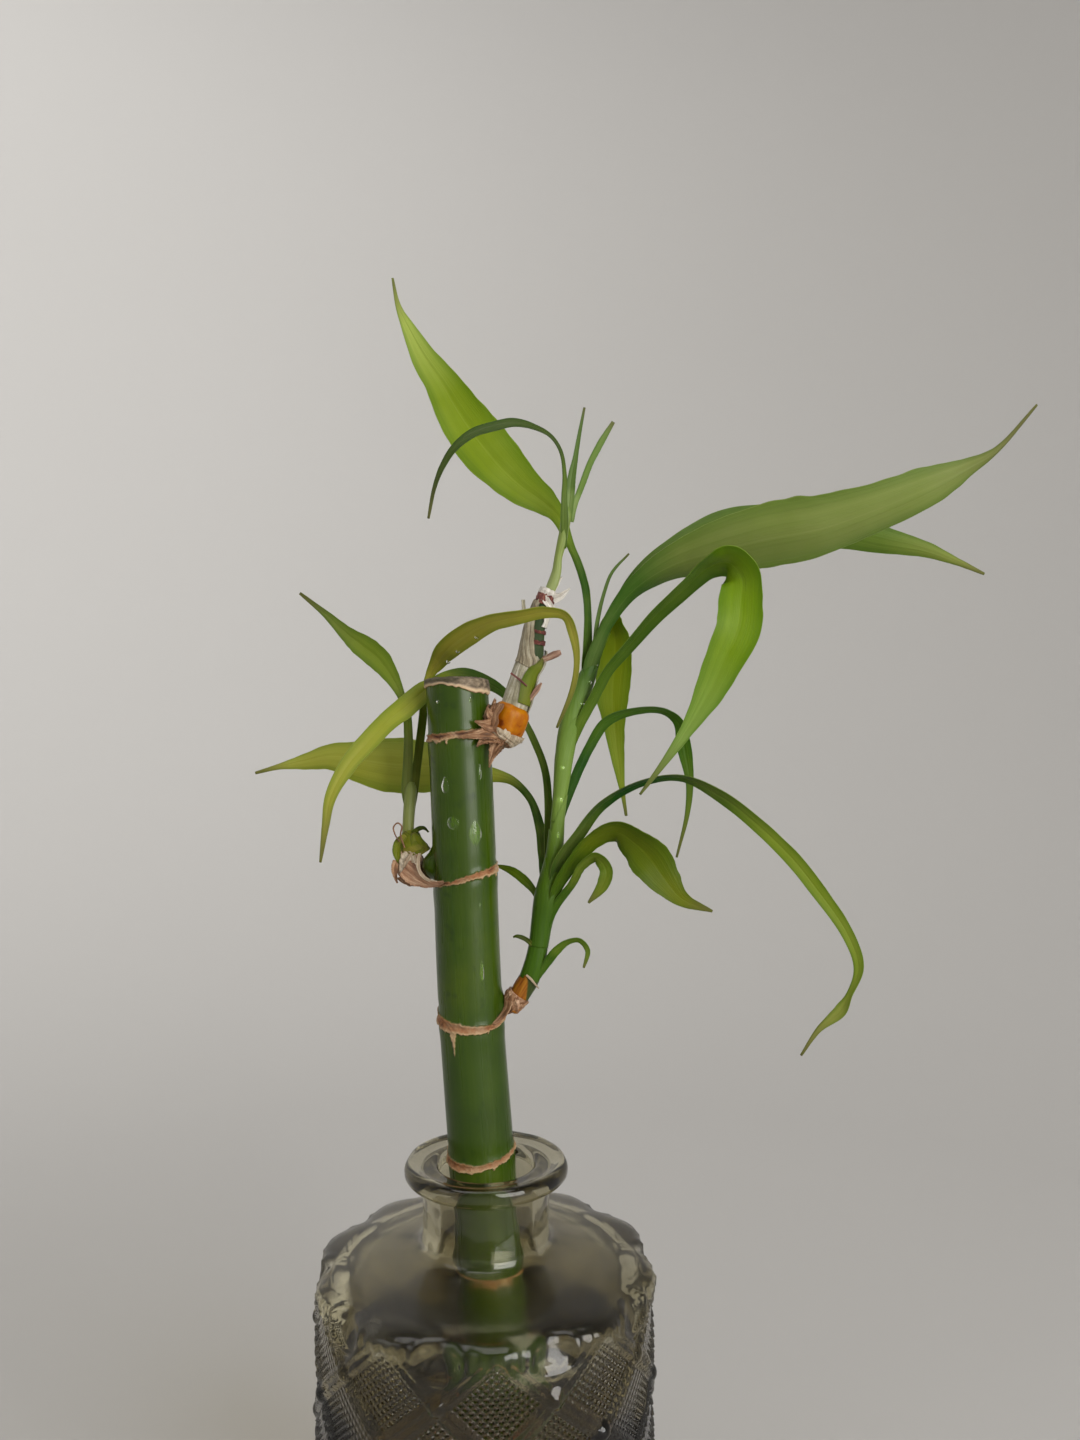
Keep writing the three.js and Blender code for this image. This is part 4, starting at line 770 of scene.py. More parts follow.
def grow_stem(name, replaced, stations, material, rows=160, columns=36):
    """A stem with its place along it from 0 at the foot to 1 at the top."""
    share = shares(rows)
    around = circle(columns)
    thing = skin(name, tube(stations, rows, columns, 0.05 * ragged(around + 0.5 * share, 2, 2, 7)), material,
                 uv=tube_uv(stations, rows, columns), along=share)
    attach(thing, "root")
    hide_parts(replaced)


left_green = stem_skin("left_stem_skin", [(0.0, (128, 130, 62)), (0.5, (136, 144, 84)),
                                          (1.0, (112, 124, 62))])
top_green = stem_skin("top_stem_skin", [(0.0, (150, 160, 108)), (0.45, (138, 152, 84)),
                                        (1.0, (112, 134, 66))])
right_green = stem_skin("right_stem_skin", [(0.0, (64, 96, 12)), (0.2, (63, 92, 10)), (0.36, (80, 108, 26)),
                                            (0.52, (120, 146, 66)), (0.76, (108, 136, 58)),
                                            (0.92, (72, 104, 40))])
grow_stem("left_shoot_stem", "left_stem", LEFT_STEM, left_green)
grow_stem("top_shoot_stem", "top_stem", TOP_STEM, top_green)
grow_stem("right_shoot_stem", "right_stem", RIGHT_STEM, right_green, rows=240, columns=48)


# ---- The leaves -----------------------------------------------------------------------------
# Thin strap leaves that arch out of the shoots, narrow at the foot, widest past the middle and
# drawn out to a fine dry tip. Each is one blade with a shallow rib, close parallel veins and a
# pale edge, and its own green, from dark to nearly yellow.

COARSE_GRID, FINE_GRID = (120, 19), (200, 25)      # rows and columns of a short and a long blade
RIB_THICKNESS, EDGE_THICKNESS = 0.55, 0.2


def leaf_skin(name, foot, blade, tip, pale, reach=0.32):
    """A leaf's skin: its colour runs from foot to blade, which starts at share reach, and to the
    tip, with darker bands between broad veins, fine veins that meet at the tip, painted shade
    towards both edges, a lighter rib and edge, and a dry brown point."""
    material, tree, shader = new_material(name, Roughness=0.42, Specular_IOR_Level=0.16,
                                          Subsurface_Weight=0.15, Subsurface_Scale=0.002,
                                          Subsurface_Radius=(0.6, 1.0, 0.25))
    along, across = field(tree, "along"), maths("ABSOLUTE", field(tree, "across"))
    fine, broad = fibrous(tree, 0.16, 60.0), fibrous(tree, 0.8, 110.0)
    green = ramp(along, [(0.75 * reach, fresh(*foot)), (reach, fresh(*blade)),
                         (0.74, fresh(*blade)), (0.97, fresh(*tip))])
    green = over(green, fresh(*pale), ranged(noise(tree, 55.0, 3.0), 0.42, 0.7), 0.3)
    green = over(green, (0.62, 0.72, 0.45, 1), broad, 0.46, "MULTIPLY")
    green = over(green, (0.72, 0.8, 0.55, 1), fine, 0.3, "MULTIPLY")
    # Painted shade: darker towards both edges, for the light that shines brighter through the leaf's middle.
    green = over(green, (0.46, 0.6, 0.36, 1), ranged(across, 0.5, 0.98), 0.75, "MULTIPLY")
    rib, rim = ranged(across, 0.06, 0.0), ranged(across, 0.965, 0.99)
    light = maths("MAXIMUM", maths("MULTIPLY", rib, 0.1), maths("MULTIPLY", rim, 0.2))
    green = over(green, colour(*pale, 1.2), light)
    feed(shader, Base_Color=over(green, colour(88, 84, 44), ranged(along, 0.9, 0.985), 0.8),
         Roughness=maths("MULTIPLY_ADD", broad, 0.14, 0.36),
         Normal=bump(weighed(broad, fine, 0.6), 0.4, 0.0003))
    return material


def leaf_blade(stations, rows, columns, cup, wave, seed, rough=0.03):
    """The closed surface of a blade through stations [x, y, z, width, turn], its front face from
    one edge to the other and its back face from there. Turn rolls it about its rib, in degrees,
    from lying flat to the viewer. At share s of the half width h it is lifted towards its front
    by cup h |s|^1.5 plus a ripple at its edges, and a shallow groove runs along the rib. The
    edges are rough by a share of the half width. Also each point's s and millimetres for its
    veins."""
    path = smooth_path(stations, rows)
    _, across, front = along_path(path)
    roll = np.radians(path[:, 4, None])
    side = np.cos(roll) * across + np.sin(roll) * front
    face = np.cos(roll) * front - np.sin(roll) * across
    far = shares(rows)
    half = np.maximum(path[:, 3, None], 0.5) / 2
    s = np.cos(np.linspace(0, np.pi, columns))[None, :]
    ripple = wave[0] * np.sin(np.pi * far) * s * s * np.sin(2 * np.pi * wave[1] * far + s)
    uneven = rough * half * ragged(2 * np.pi * far + 0.8 * s, seed, 4, 30) * abs(s) ** 3 * np.sign(s + 1e-9)
    lift = cup * half * abs(s) ** 1.5 + ripple - 0.05 * np.minimum(half, 3) * np.exp(-(s / 0.09) ** 2)
    middle = (path[:, None, :3] + (half * s + uneven)[..., None] * side[:, None]
              + lift[..., None] * face[:, None])
    normal = np.cross(np.gradient(middle, axis=0), np.gradient(middle, axis=1))
    normal /= np.linalg.norm(normal, axis=2, keepdims=True) + 1e-12
    normal *= np.sign((normal * face[:, None]).sum(-1, keepdims=True))
    thick = RIB_THICKNESS - (RIB_THICKNESS - EDGE_THICKNESS) * abs(s) ** 1.5
    thick = thick[..., None] / 2 * np.minimum(1, 0.3 + half)[..., None]
    points = np.concatenate([middle + normal * thick, (middle - normal * thick)[:, ::-1]], 1)
    share = np.concatenate([s, s[:, ::-1]], 1) + 0 * far
    length = far_along(path[:, :3])[:, None]
    uv = np.stack([share * half.max(), length + 0 * share], -1)
    return points, share, np.concatenate([uv, uv[:, :1]], 1)


def grow_leaf(leaf, colours, stations, reach=0.32, cup=0.2, wave=(0, 1), grid=COARSE_GRID):
    """One leaf in the place of its solid, with the colours of its foot, blade, tip and patches."""
    name = leaf + "_blade"
    points, share, uv = leaf_blade(stations, *grid, cup, wave, sum(map(ord, name)))
    thing = skin(name, points, leaf_skin(name + "_skin", *colours, reach), uv=uv, across=share,
                 along=shares(grid[0]))
    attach(thing, "root")
    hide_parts(leaf)


grow_leaf("left_leaf_1", [(96, 102, 48), (106, 120, 40), (88, 100, 50), (136, 144, 72)], [
    [-21.3, 8, 234.5, 1.2, 0], [-21.9, 8.4, 240.5, 2.6, 0], [-21.6, 8.8, 248, 2.6, 0],
    [-21.5, 9.2, 256, 2.4, 0], [-22, 9.4, 262, 2.2, 5], [-23.5, 9.8, 266.5, 2.2, 10],
    [-26.5, 11, 272, 4.4, 12], [-30.5, 12.5, 277, 6.4, 12], [-35, 14, 280.5, 6.2, 12],
    [-39.5, 15.5, 284, 4, 10], [-45.5, 17, 289.5, 2, 10], [-53, 18.5, 295.5, 0.8, 0]
], cup=0.25)
grow_leaf("left_leaf_2", [(84, 92, 24), (158, 149, 60), (160, 154, 70), (170, 166, 82)], [
    [-20.4, 8.6, 235, 1.2, 0], [-20, 9.4, 241, 2.4, 0], [-19, 10.2, 250, 2.3, 5],
    [-18, 11.3, 259, 2.2, 5], [-17.5, 12.2, 265.5, 2.2, 5], [-16.9, 13, 269.5, 2.2, 0],
    [-15.9, 13, 272.6, 2.6, 0], [-13.8, 10.4, 275.6, 4.2, 10], [-10.5, 4, 278.8, 6, 20],
    [-4.5, -3, 282.5, 6.4, 25], [2, -9, 285, 5, 35], [9, -13, 286, 4.2, 40], [15.5, -15, 287, 3.6, 45],
    [20.5, -15, 286, 2.8, 45], [22.5, -14, 281.5, 2.4, 20], [23.5, -12, 275, 1.6, 20],
    [22.5, -10, 268, 1.4, 15], [18.5, -8, 258, 0.6, 0]
], grid=FINE_GRID)
grow_leaf("top_leaf_1", [(92, 112, 44), (62, 78, 34), (72, 80, 42), (96, 108, 60)], [
    [20.6, -0.4, 305, 1, 0], [20.6, -1, 312, 2, 0], [20.5, -1.6, 318, 1.6, 20],
    [20.5, -2.5, 324, 1.8, 55], [19.5, -4, 329.5, 2, 60], [17, -5.5, 333, 2.2, 55],
    [12.5, -7.5, 335, 2.4, 40], [7.5, -9.5, 335.5, 2.8, 25], [2.5, -11.5, 334, 2.8, 15],
    [-2.5, -13, 332, 2.6, 15], [-7, -14.5, 328, 2.2, 20], [-10, -15.5, 323, 1.8, 30],
    [-12, -16, 317.5, 1.2, 30], [-13.5, -16, 310, 0.6, 0]
], cup=0.15)
grow_leaf("top_leaf_2", [(124, 142, 84), (90, 112, 56), (84, 102, 54), (126, 144, 90)], [
    [21.5, 0.1, 312.5, 2.2, 0], [22, 0.2, 318, 2.4, 0], [22.5, 0.5, 323.5, 2.2, 0],
    [23.5, 1.2, 329, 1.4, 0], [24.5, 2, 335, 1, 0], [26, 3, 343, 0.6, 0]
], cup=0.3)
grow_leaf("top_leaf_3", [(128, 146, 86), (100, 124, 56), (104, 120, 60), (136, 152, 94)], [
    [22, 1.5, 312.5, 2.2, 0], [23.5, 2.4, 317.5, 1.6, 20], [25.5, 3.8, 323, 1.8, 25],
    [27.5, 5.2, 328.5, 1.8, 25], [30.5, 6.6, 334.5, 1.8, 20], [34, 8, 340.5, 1, 0]
])
grow_leaf("right_leaf_01", [(66, 98, 34), (125, 137, 72), (106, 106, 58), (150, 158, 98)], [
    [25.4, 3.6, 266, 1.4, 10], [27.8, 3.8, 275, 3.6, 10], [32, 3.5, 285, 3.2, 20],
    [38.5, 2.5, 294, 5.2, 25], [48.5, 0, 300.5, 10, 30], [59, -4, 303.5, 14.6, 30],
    [71.5, -9, 306, 17, 30], [84.5, -13, 308, 16.4, 28], [97, -16, 312, 13.4, 25],
    [110.5, -18, 317.5, 10, 20], [119.5, -18, 322, 4.8, 20], [127, -17, 326.5, 2, 30],
    [138, -15, 338.5, 0.6, 20]
], reach=0.36, cup=-0.25, wave=(0.7, 3), grid=FINE_GRID)
grow_leaf("right_leaf_02", [(60, 92, 30), (96, 116, 44), (144, 148, 76), (134, 148, 74)], [
    [27, 5.6, 268, 1.2, 10], [28.8, 6.4, 275, 2.8, 10], [30, 8.3, 281.5, 2.6, 20], [34, 10, 288.5, 3, 25],
    [42, 13, 299.5, 5.8, 30], [53.5, 17, 307.5, 9, 30], [68, 22, 314.5, 10.8, 30],
    [86, 27, 316, 11.4, 30], [101.5, 31, 315, 10.8, 28], [116, 34, 312.5, 7.8, 25],
    [128, 36, 310.5, 4.8, 20], [138, 37, 307, 2.2, 15], [146.5, 38, 303.5, 0.8, 0]
], reach=0.36, cup=-0.2, grid=FINE_GRID)
grow_leaf("right_leaf_03", [(72, 98, 28), (112, 138, 14), (140, 164, 92), (142, 162, 62)], [
    [22.4, 2.4, 252, 1.2, 15], [25, 2, 259.5, 2.8, 20], [28.4, 1.4, 266, 3.2, 30],
    [32, 0.4, 273, 3.6, 40], [37.5, -1, 279.5, 4.4, 45], [44, -3.5, 287, 5.2, 45],
    [51, -7.5, 293.5, 5.8, 45], [56.5, -11, 298.5, 7.8, 50], [61, -14, 299.5, 11.4, 55],
    [64, -17, 295.5, 10.2, 35], [63.5, -19, 289, 10.6, 12], [62.5, -20, 282.5, 11, 0],
    [59.5, -20, 275.5, 9.8, 0], [56, -19, 267.5, 7.6, 0], [51, -18, 258.5, 3.8, 5], [46, -17, 251, 2, 5],
    [39, -16, 241.5, 0.6, 0]
], reach=0.54, grid=FINE_GRID)
grow_leaf("right_leaf_04", [(84, 110, 26), (124, 138, 22), (132, 142, 44), (152, 166, 60)], [
    [24, 4.6, 261, 1.2, 10], [26.4, 6, 268, 2.4, 10], [28, 9.2, 273, 2.6, 20], [30.5, 12, 280.5, 3.6, 40],
    [32, 14, 285.5, 6, 50], [33.5, 15.5, 287, 7.8, 50], [35, 17, 283.5, 8.6, 25],
    [35, 18.5, 275.5, 10, 8], [34.5, 19.5, 266.5, 9, 0], [35, 20, 259.5, 6.4, 0], [36, 20.5, 250, 4, 0],
    [37.5, 20.5, 239.5, 1.4, 0], [38.5, 20.5, 233, 0.8, 0]
], cup=0.15)
grow_leaf("right_leaf_14", [(54, 86, 12), (122, 140, 32), (186, 196, 108), (160, 174, 78)], [
    [25.8, 5.8, 266, 1.4, 10], [26.8, 6.8, 274, 3, 10], [27, 7, 281.5, 2.4, 10], [27, 7, 288.5, 2, 10],
    [26.5, 7.5, 295, 2, 10], [25, 8.5, 301, 2, 10], [22.5, 10, 307.5, 2.2, 5], [19, 12, 316, 4.6, 5],
    [15, 13.5, 320, 8.4, 10], [9, 15, 324.5, 11.8, 12], [3, 17, 330.5, 14.8, 12],
    [-3, 18.5, 338, 15.4, 12], [-8.5, 19.5, 346, 13.4, 10], [-13.5, 20, 354.5, 9.8, 10],
    [-18.5, 20, 362, 7.2, 8], [-22.5, 19.5, 369.5, 4, 5], [-25.5, 19, 376, 1.6, 0],
    [-27, 18, 383.5, 0.6, 0]
], reach=0.42, cup=0.18, wave=(0.5, 2), grid=FINE_GRID)
grow_leaf("right_leaf_15", [(96, 120, 56), (84, 104, 52), (84, 98, 54), (120, 136, 80)], [
    [28.5, 5, 274.5, 1.2, 0], [29.5, 5, 286, 1.1, 0], [31.5, 5, 294.5, 0.9, 0], [33.5, 5, 299.5, 0.8, 0],
    [38, 5, 304.5, 0.5, 0]
], cup=0.3)
grow_leaf("right_leaf_05", [(40, 76, 14), (66, 98, 16), (104, 116, 40), (96, 120, 44)], [
    [18.7, 2.2, 229, 1.2, 30], [20, 3, 235.5, 2.6, 30], [23, 4, 243.5, 3.2, 35], [27, 6, 252, 3.2, 35],
    [32, 8, 259.5, 3.6, 40], [40, 10, 262.5, 3, 50], [48, 11, 262.5, 2.8, 55], [52, 11, 259.5, 3.2, 40],
    [53.5, 11, 253, 4, 15], [55, 11, 243.5, 2.2, 10], [54.5, 11, 235, 1.4, 0], [51.5, 11, 222.5, 0.6, 0]
], cup=0.15)
grow_leaf("right_leaf_11", [(62, 84, 22), (138, 142, 44), (156, 152, 62), (164, 166, 82)], [
    [17.2, 2.2, 215, 1.2, 30], [16.7, 3.2, 222, 3, 30], [16.5, 4.4, 229.5, 2.6, 20],
    [16.5, 5.5, 237, 2.2, 10], [15.5, 8, 246.5, 2, 10], [12.5, 11.5, 254.5, 2, 10], [8.5, 14, 262, 2, 20],
    [4.5, 15.5, 267, 3, 35], [0, 16, 270, 4.2, 35], [-6.5, 15.5, 272.4, 4.6, 35],
    [-11.5, 14, 271.8, 3.8, 30], [-14, 10.2, 270.2, 3.6, 15], [-17, 7.4, 267.8, 5.4, 10],
    [-21.5, 4.5, 263.5, 6, 5], [-26, 0, 259.5, 5.2, 0], [-30.5, -5, 254, 5.2, 0], [-35, -9, 248, 4.4, 0],
    [-38.5, -12, 240.5, 3, 5], [-39.5, -14, 233, 1.8, 0], [-40.5, -15, 224.5, 0.6, 0]
], reach=0.62, cup=0.15, grid=FINE_GRID)
grow_leaf("right_leaf_12", [(42, 72, 18), (166, 165, 64), (166, 164, 76), (178, 180, 92)], [
    [16, 2.4, 211, 1.2, 10], [15.4, 3.4, 218.2, 2.4, 10], [15, 5.4, 224, 2.6, 10],
    [14.2, 7.6, 231, 2.6, 10], [11.5, 11, 238.5, 2, 10], [6, 15, 243.5, 2.6, 15], [-1, 18, 245, 5, 20],
    [-9.5, 20, 246.5, 10.8, 20], [-18.5, 22, 247, 14.8, 18], [-28, 24, 247.5, 16, 15],
    [-37.5, 26, 248.5, 12.4, 15], [-46, 28, 249.5, 8, 15], [-54, 30, 248, 4.8, 10],
    [-61.5, 31, 246.5, 1.8, 10], [-69, 32, 244.5, 0.8, 0]
], reach=0.42, cup=-0.2, grid=FINE_GRID)
grow_leaf("right_leaf_06", [(34, 70, 12), (120, 136, 42), (140, 138, 76), (150, 158, 76)], [
    [17, -1, 214, 1.2, 15], [18.6, -1.4, 222, 3.2, 25], [24, -3, 230, 3.6, 30], [30, -5, 238, 3.4, 40],
    [40, -8, 244, 2.8, 50], [50, -11, 245.5, 2.6, 50], [59.5, -15, 241, 3.6, 35],
    [67.5, -18, 234.5, 3.6, 20], [75.5, -21, 226.5, 3.8, 15], [82, -23, 218, 3.6, 10],
    [88, -24, 209, 3, 15], [91, -24, 200.5, 2.4, 25], [89, -23, 193.5, 1.6, 40], [87, -22, 189.5, 3, 10],
    [82, -21, 184.5, 1.4, 0], [78, -20, 178, 0.6, 0]
], reach=0.5, cup=0.25)
grow_leaf("right_leaf_07", [(64, 90, 12), (92, 104, 10), (116, 120, 18), (118, 130, 34)], [
    [16.4, -1.4, 209.5, 1.2, 15], [18.8, -2.2, 217, 3.2, 20], [23, -4, 223.5, 3.8, 25],
    [28, -6, 229, 4.6, 25], [33.5, -8.5, 231.5, 6.8, 25], [38, -11, 229, 8.6, 20],
    [42, -13, 225, 10.4, 10], [45.5, -14, 220, 8, 0], [49.5, -15, 215.5, 4, 0], [57, -16, 212.5, 0.6, 0]
], wave=(0.8, 2))
grow_leaf("right_leaf_13", [(92, 112, 34), (86, 104, 26), (100, 108, 40), (120, 136, 56)], [
    [15.4, 1.6, 206.5, 1, 30], [14.6, 2.4, 211, 1.8, 30], [12.5, 4, 214.5, 1.8, 20],
    [10, 6, 217, 2.4, 10], [7, 8, 219, 2.2, 10], [4.6, 9.8, 219.8, 1.5, 5], [2.2, 11.4, 220.2, 0.6, 0]
])
grow_leaf("right_leaf_08", [(62, 92, 12), (98, 114, 34), (112, 120, 44), (124, 138, 60)], [
    [16, -1.2, 205.5, 1, 10], [18.4, -1.6, 211.5, 2.2, 10], [22.5, -3.5, 217.5, 2.2, 20],
    [25, -6, 222.5, 2.6, 25], [28.5, -8.5, 225, 3.2, 32], [31, -10, 222, 3.4, 14], [30, -10, 218, 3, 0],
    [26.5, -9.5, 213.5, 0.6, 0]
])
grow_leaf("right_leaf_09", [(60, 90, 14), (92, 114, 38), (108, 120, 48), (124, 142, 64)], [
    [13.4, -1.2, 192, 1, 10], [16, -1.6, 196.5, 2.2, 10], [18.5, -2.5, 200, 2.4, 15],
    [21.5, -3.5, 202.5, 1.8, 30], [24.5, -4.5, 203, 1.6, 35], [26.5, -5, 200.5, 1.4, 20],
    [25.5, -5, 196, 0.6, 0]
])


# ---- The dry husks --------------------------------------------------------------------------
# Where a shoot breaks out of the cane it leaves a dry husk: brown papery folds, torn into
# points, that grip the shoot's foot and run out into the scar round the node.

LEFT_KNOB = [[-15.2, 2.6, 217.9, 1.6, 2.2], [-16.6, 3.2, 218.2, 3, 2.9], [-18.8, 3.8, 219, 5.6, 5.1],
             [-20.6, 4.2, 220.8, 6.9, 5.9], [-21, 4.5, 223.2, 6.4, 5.2], [-21.2, 4.8, 225, 4.8, 3.9]]
RIGHT_HUSK = [[4.2, 0.6, 183.4, 1.6, 2.6], [5, 0.6, 184, 2.8, 3.2], [6.2, 0.6, 185, 4.4, 4.4],
              [7.5, 0.5, 186.4, 5.7, 5.2], [8.6, 0.4, 188, 5.9, 5.4]]
# The torn points round the top shoot's foot, from their root to their tip: two to the left, the
# arm that runs into the scar, one short and one long below, and a tuft above.
STAR_POINTS = [[[3.4, -3.6, 258.8, 5, 25], [1.2, -5.4, 258.6, 3.6, 20], [-1, -6.9, 259.2, 1.5, 10],
                [-2.5, -7.5, 259.7, 0.3, 0]],
               [[3, -4, 256.6, 4.6, 25], [0.4, -6.2, 256.5, 3.4, 15], [-2.6, -7.6, 256.2, 2, 5],
                [-6.4, -8.2, 255.7, 0.7, 0]],
               [[3, -4.2, 255.6, 4, 25], [0.6, -6, 255.2, 3, 15], [-0.9, -6.9, 254.4, 1.5, 5],
                [-2, -7.3, 253.2, 0.3, 0]],
               [[3.8, -3.6, 255.4, 4.6, 30], [2.5, -4.6, 252.8, 3, 20], [1.7, -5, 250.2, 1.5, 15],
                [1.1, -5.3, 247.8, 0.3, 10]],
               [[2.8, -3.6, 259.4, 3.4, 10], [1.4, -4.6, 261.2, 2.2, 10], [0.4, -4.9, 263.4, 0.3, 0]],
               [[3.2, -3.2, 260.2, 3, 0], [2.2, -4.2, 262.4, 1.9, 0], [2.5, -4.6, 264.3, 0.4, 10]],
               [[2.4, 3, 256.4, 4.6, -30], [1.4, 6, 255.4, 2.8, -40], [-1.4, 8.6, 254.4, 0.4, -50]],
               [[2.6, 2.6, 258.2, 4, -30], [1.2, 5.6, 260.2, 2.4, -40], [-0.8, 7.6, 261.8, 0.4, -50]],
               [[3.4, 1.8, 254, 4, -20], [2, 3.4, 251.2, 2.2, -30], [1.2, 4.4, 249, 0.4, -30]]]

PATH_POINTS, SCALE_ROWS = 200, 56   # along a stem, and along a scale wrapped round it


def dry_skin(name, dark, middle, light, size=1.0, gloss=0.55):
    """Dry papery skin: three browns in grainy patches, drawn out into fibres along the piece."""
    material, tree, shader = new_material(name, Roughness=0.6)
    both = weighed(noise(tree, 330.0 / size, 5.0, 0.65), fibrous(tree, 0.35 * size, 5.0 * size), 0.6)
    brown = ramp(both, [(0.26, colour(*dark)), (0.5, colour(*middle)), (0.74, colour(*light))])
    feed(shader, Base_Color=brown, Roughness=maths("MULTIPLY_ADD", both, 0.35, gloss - 0.15),
         Normal=bump(both, 0.8, 0.0006))
    return material


def folded(name, stations, rows, columns, folds, depth, seed, material, twist=0.0, uv=None, **values):
    """A tube whose skin is drawn into lengthwise folds: the radius grows by depth times a row of
    rounded ridges, folds of them round it, which turn by twist from foot to top, and wander."""
    angle = circle(columns)
    share = shares(rows)
    wander = 0.6 * ragged(angle + 2.2 * share, seed, 2, 8)
    ridges = 1 - 2 * abs(np.sin(folds / 2 * (angle + twist * share) + wander))
    ridges = ridges * (0.75 + 0.35 * np.sin(5 * share + 3 * angle))
    swell = depth * (ridges + 0.5 * ragged(angle + share, seed + 1, 6, 26))
    uv = tube_uv(stations, rows, columns) if uv is None else uv
    return skin(name, tube(stations, rows, columns, swell), material, uv=uv, **values)


def flake(stations, material, seed, cup=0.35, rows=48, columns=13, crumple=0.12, rough=0.03):
    """A small dry or fresh scale: a short blade with crumpled faces and rough edges."""
    points, share, uv = leaf_blade(stations, rows, columns, cup, (0, 1), seed, rough)
    far = shares(rows)
    fold = crumple * ragged(3 * far + 1.4 * share, seed + 5, 2, 9)
    points = points + fold[..., None] * np.array([0.3, -1.0, 0.4])
    return skin("flake", points, material, uv=uv, along=far, across=share)


def wrapped(stations, facing, half_angles, offsets, material, seed, start=0.0, end=1.0, thick=0.3,
            columns=24, tear=0.05, crumple=0.1, on_stem=False):
    """A scale wrapped round a stem, from share start to end of its length. It lies offsets off
    the stem's oval, covers half_angles degrees to each side of facing (0 is across, 90 the
    viewer's side), both read along it as (share, value) pairs, and its far end is torn. Its
    place along is its own, or that of the stem it lies on."""
    whole = smooth_path(stations, PATH_POINTS)
    far = shares(SCALE_ROWS)
    side = np.cos(np.linspace(0, np.pi, columns))[None, :]
    half = np.radians(np.interp(far, *zip(*half_angles))) * (1 + tear * ragged(2 * far, seed, 2, 20))
    angle = math.radians(facing) + half * side
    torn = tear * ragged(angle, seed + 1, 3, 30) * step(far, 0.55, 1)
    t = (start + (end - start) * far + torn * (end - start)).clip(0, 1) * (PATH_POINTS - 1)
    low = np.minimum(t.astype(int), PATH_POINTS - 2)
    path = whole[low] + (t - low)[..., None] * (whole[low + 1] - whole[low])
    _, across, front = along_path(whole)
    off = np.interp(far, *zip(*offsets)) + crumple * ragged(1.3 * angle + 3 * far, seed + 2, 2, 12)
    faces = []
    for depth in (thick / 2, -thick / 2):
        wide, deep = path[..., 3] / 2 + off + depth, path[..., 4] / 2 + off + depth
        faces.append(path[..., :3] + (wide * np.cos(angle))[..., None] * across[low]
                     + (deep * np.sin(angle))[..., None] * front[low])
    points = np.concatenate([faces[0], faces[1][:, ::-1]], 1)
    share = np.concatenate([side, side[:, ::-1]], 1) + 0 * far
    length = np.linalg.norm(np.diff(whole[:, :3], axis=0), axis=1).sum() * (end - start)
    uv = np.stack([share * half.max() * whole[:, 3].max() / 2, far * length + 0 * share], -1)
    uv = np.concatenate([uv, uv[:, :1]], 1)
    along = start + (end - start) * far if on_stem else far
    return skin("scale", points, material, uv=uv, along=along, across=share)


def hung(name, replaced, things):
    """Joins the pieces of one husk, which takes the place of its solid."""
    thing = joined(name, things)
    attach(thing, "root")
    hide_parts(replaced)


husk_brown = dry_skin("husk_brown", (58, 34, 20), (138, 96, 62), (202, 168, 134))
husk_pink = dry_skin("husk_pink", (112, 74, 52), (160, 118, 88), (200, 168, 138), gloss=0.4)
husk_cream = dry_skin("husk_cream", (132, 112, 90), (178, 160, 134), (212, 202, 184), size=1.4)

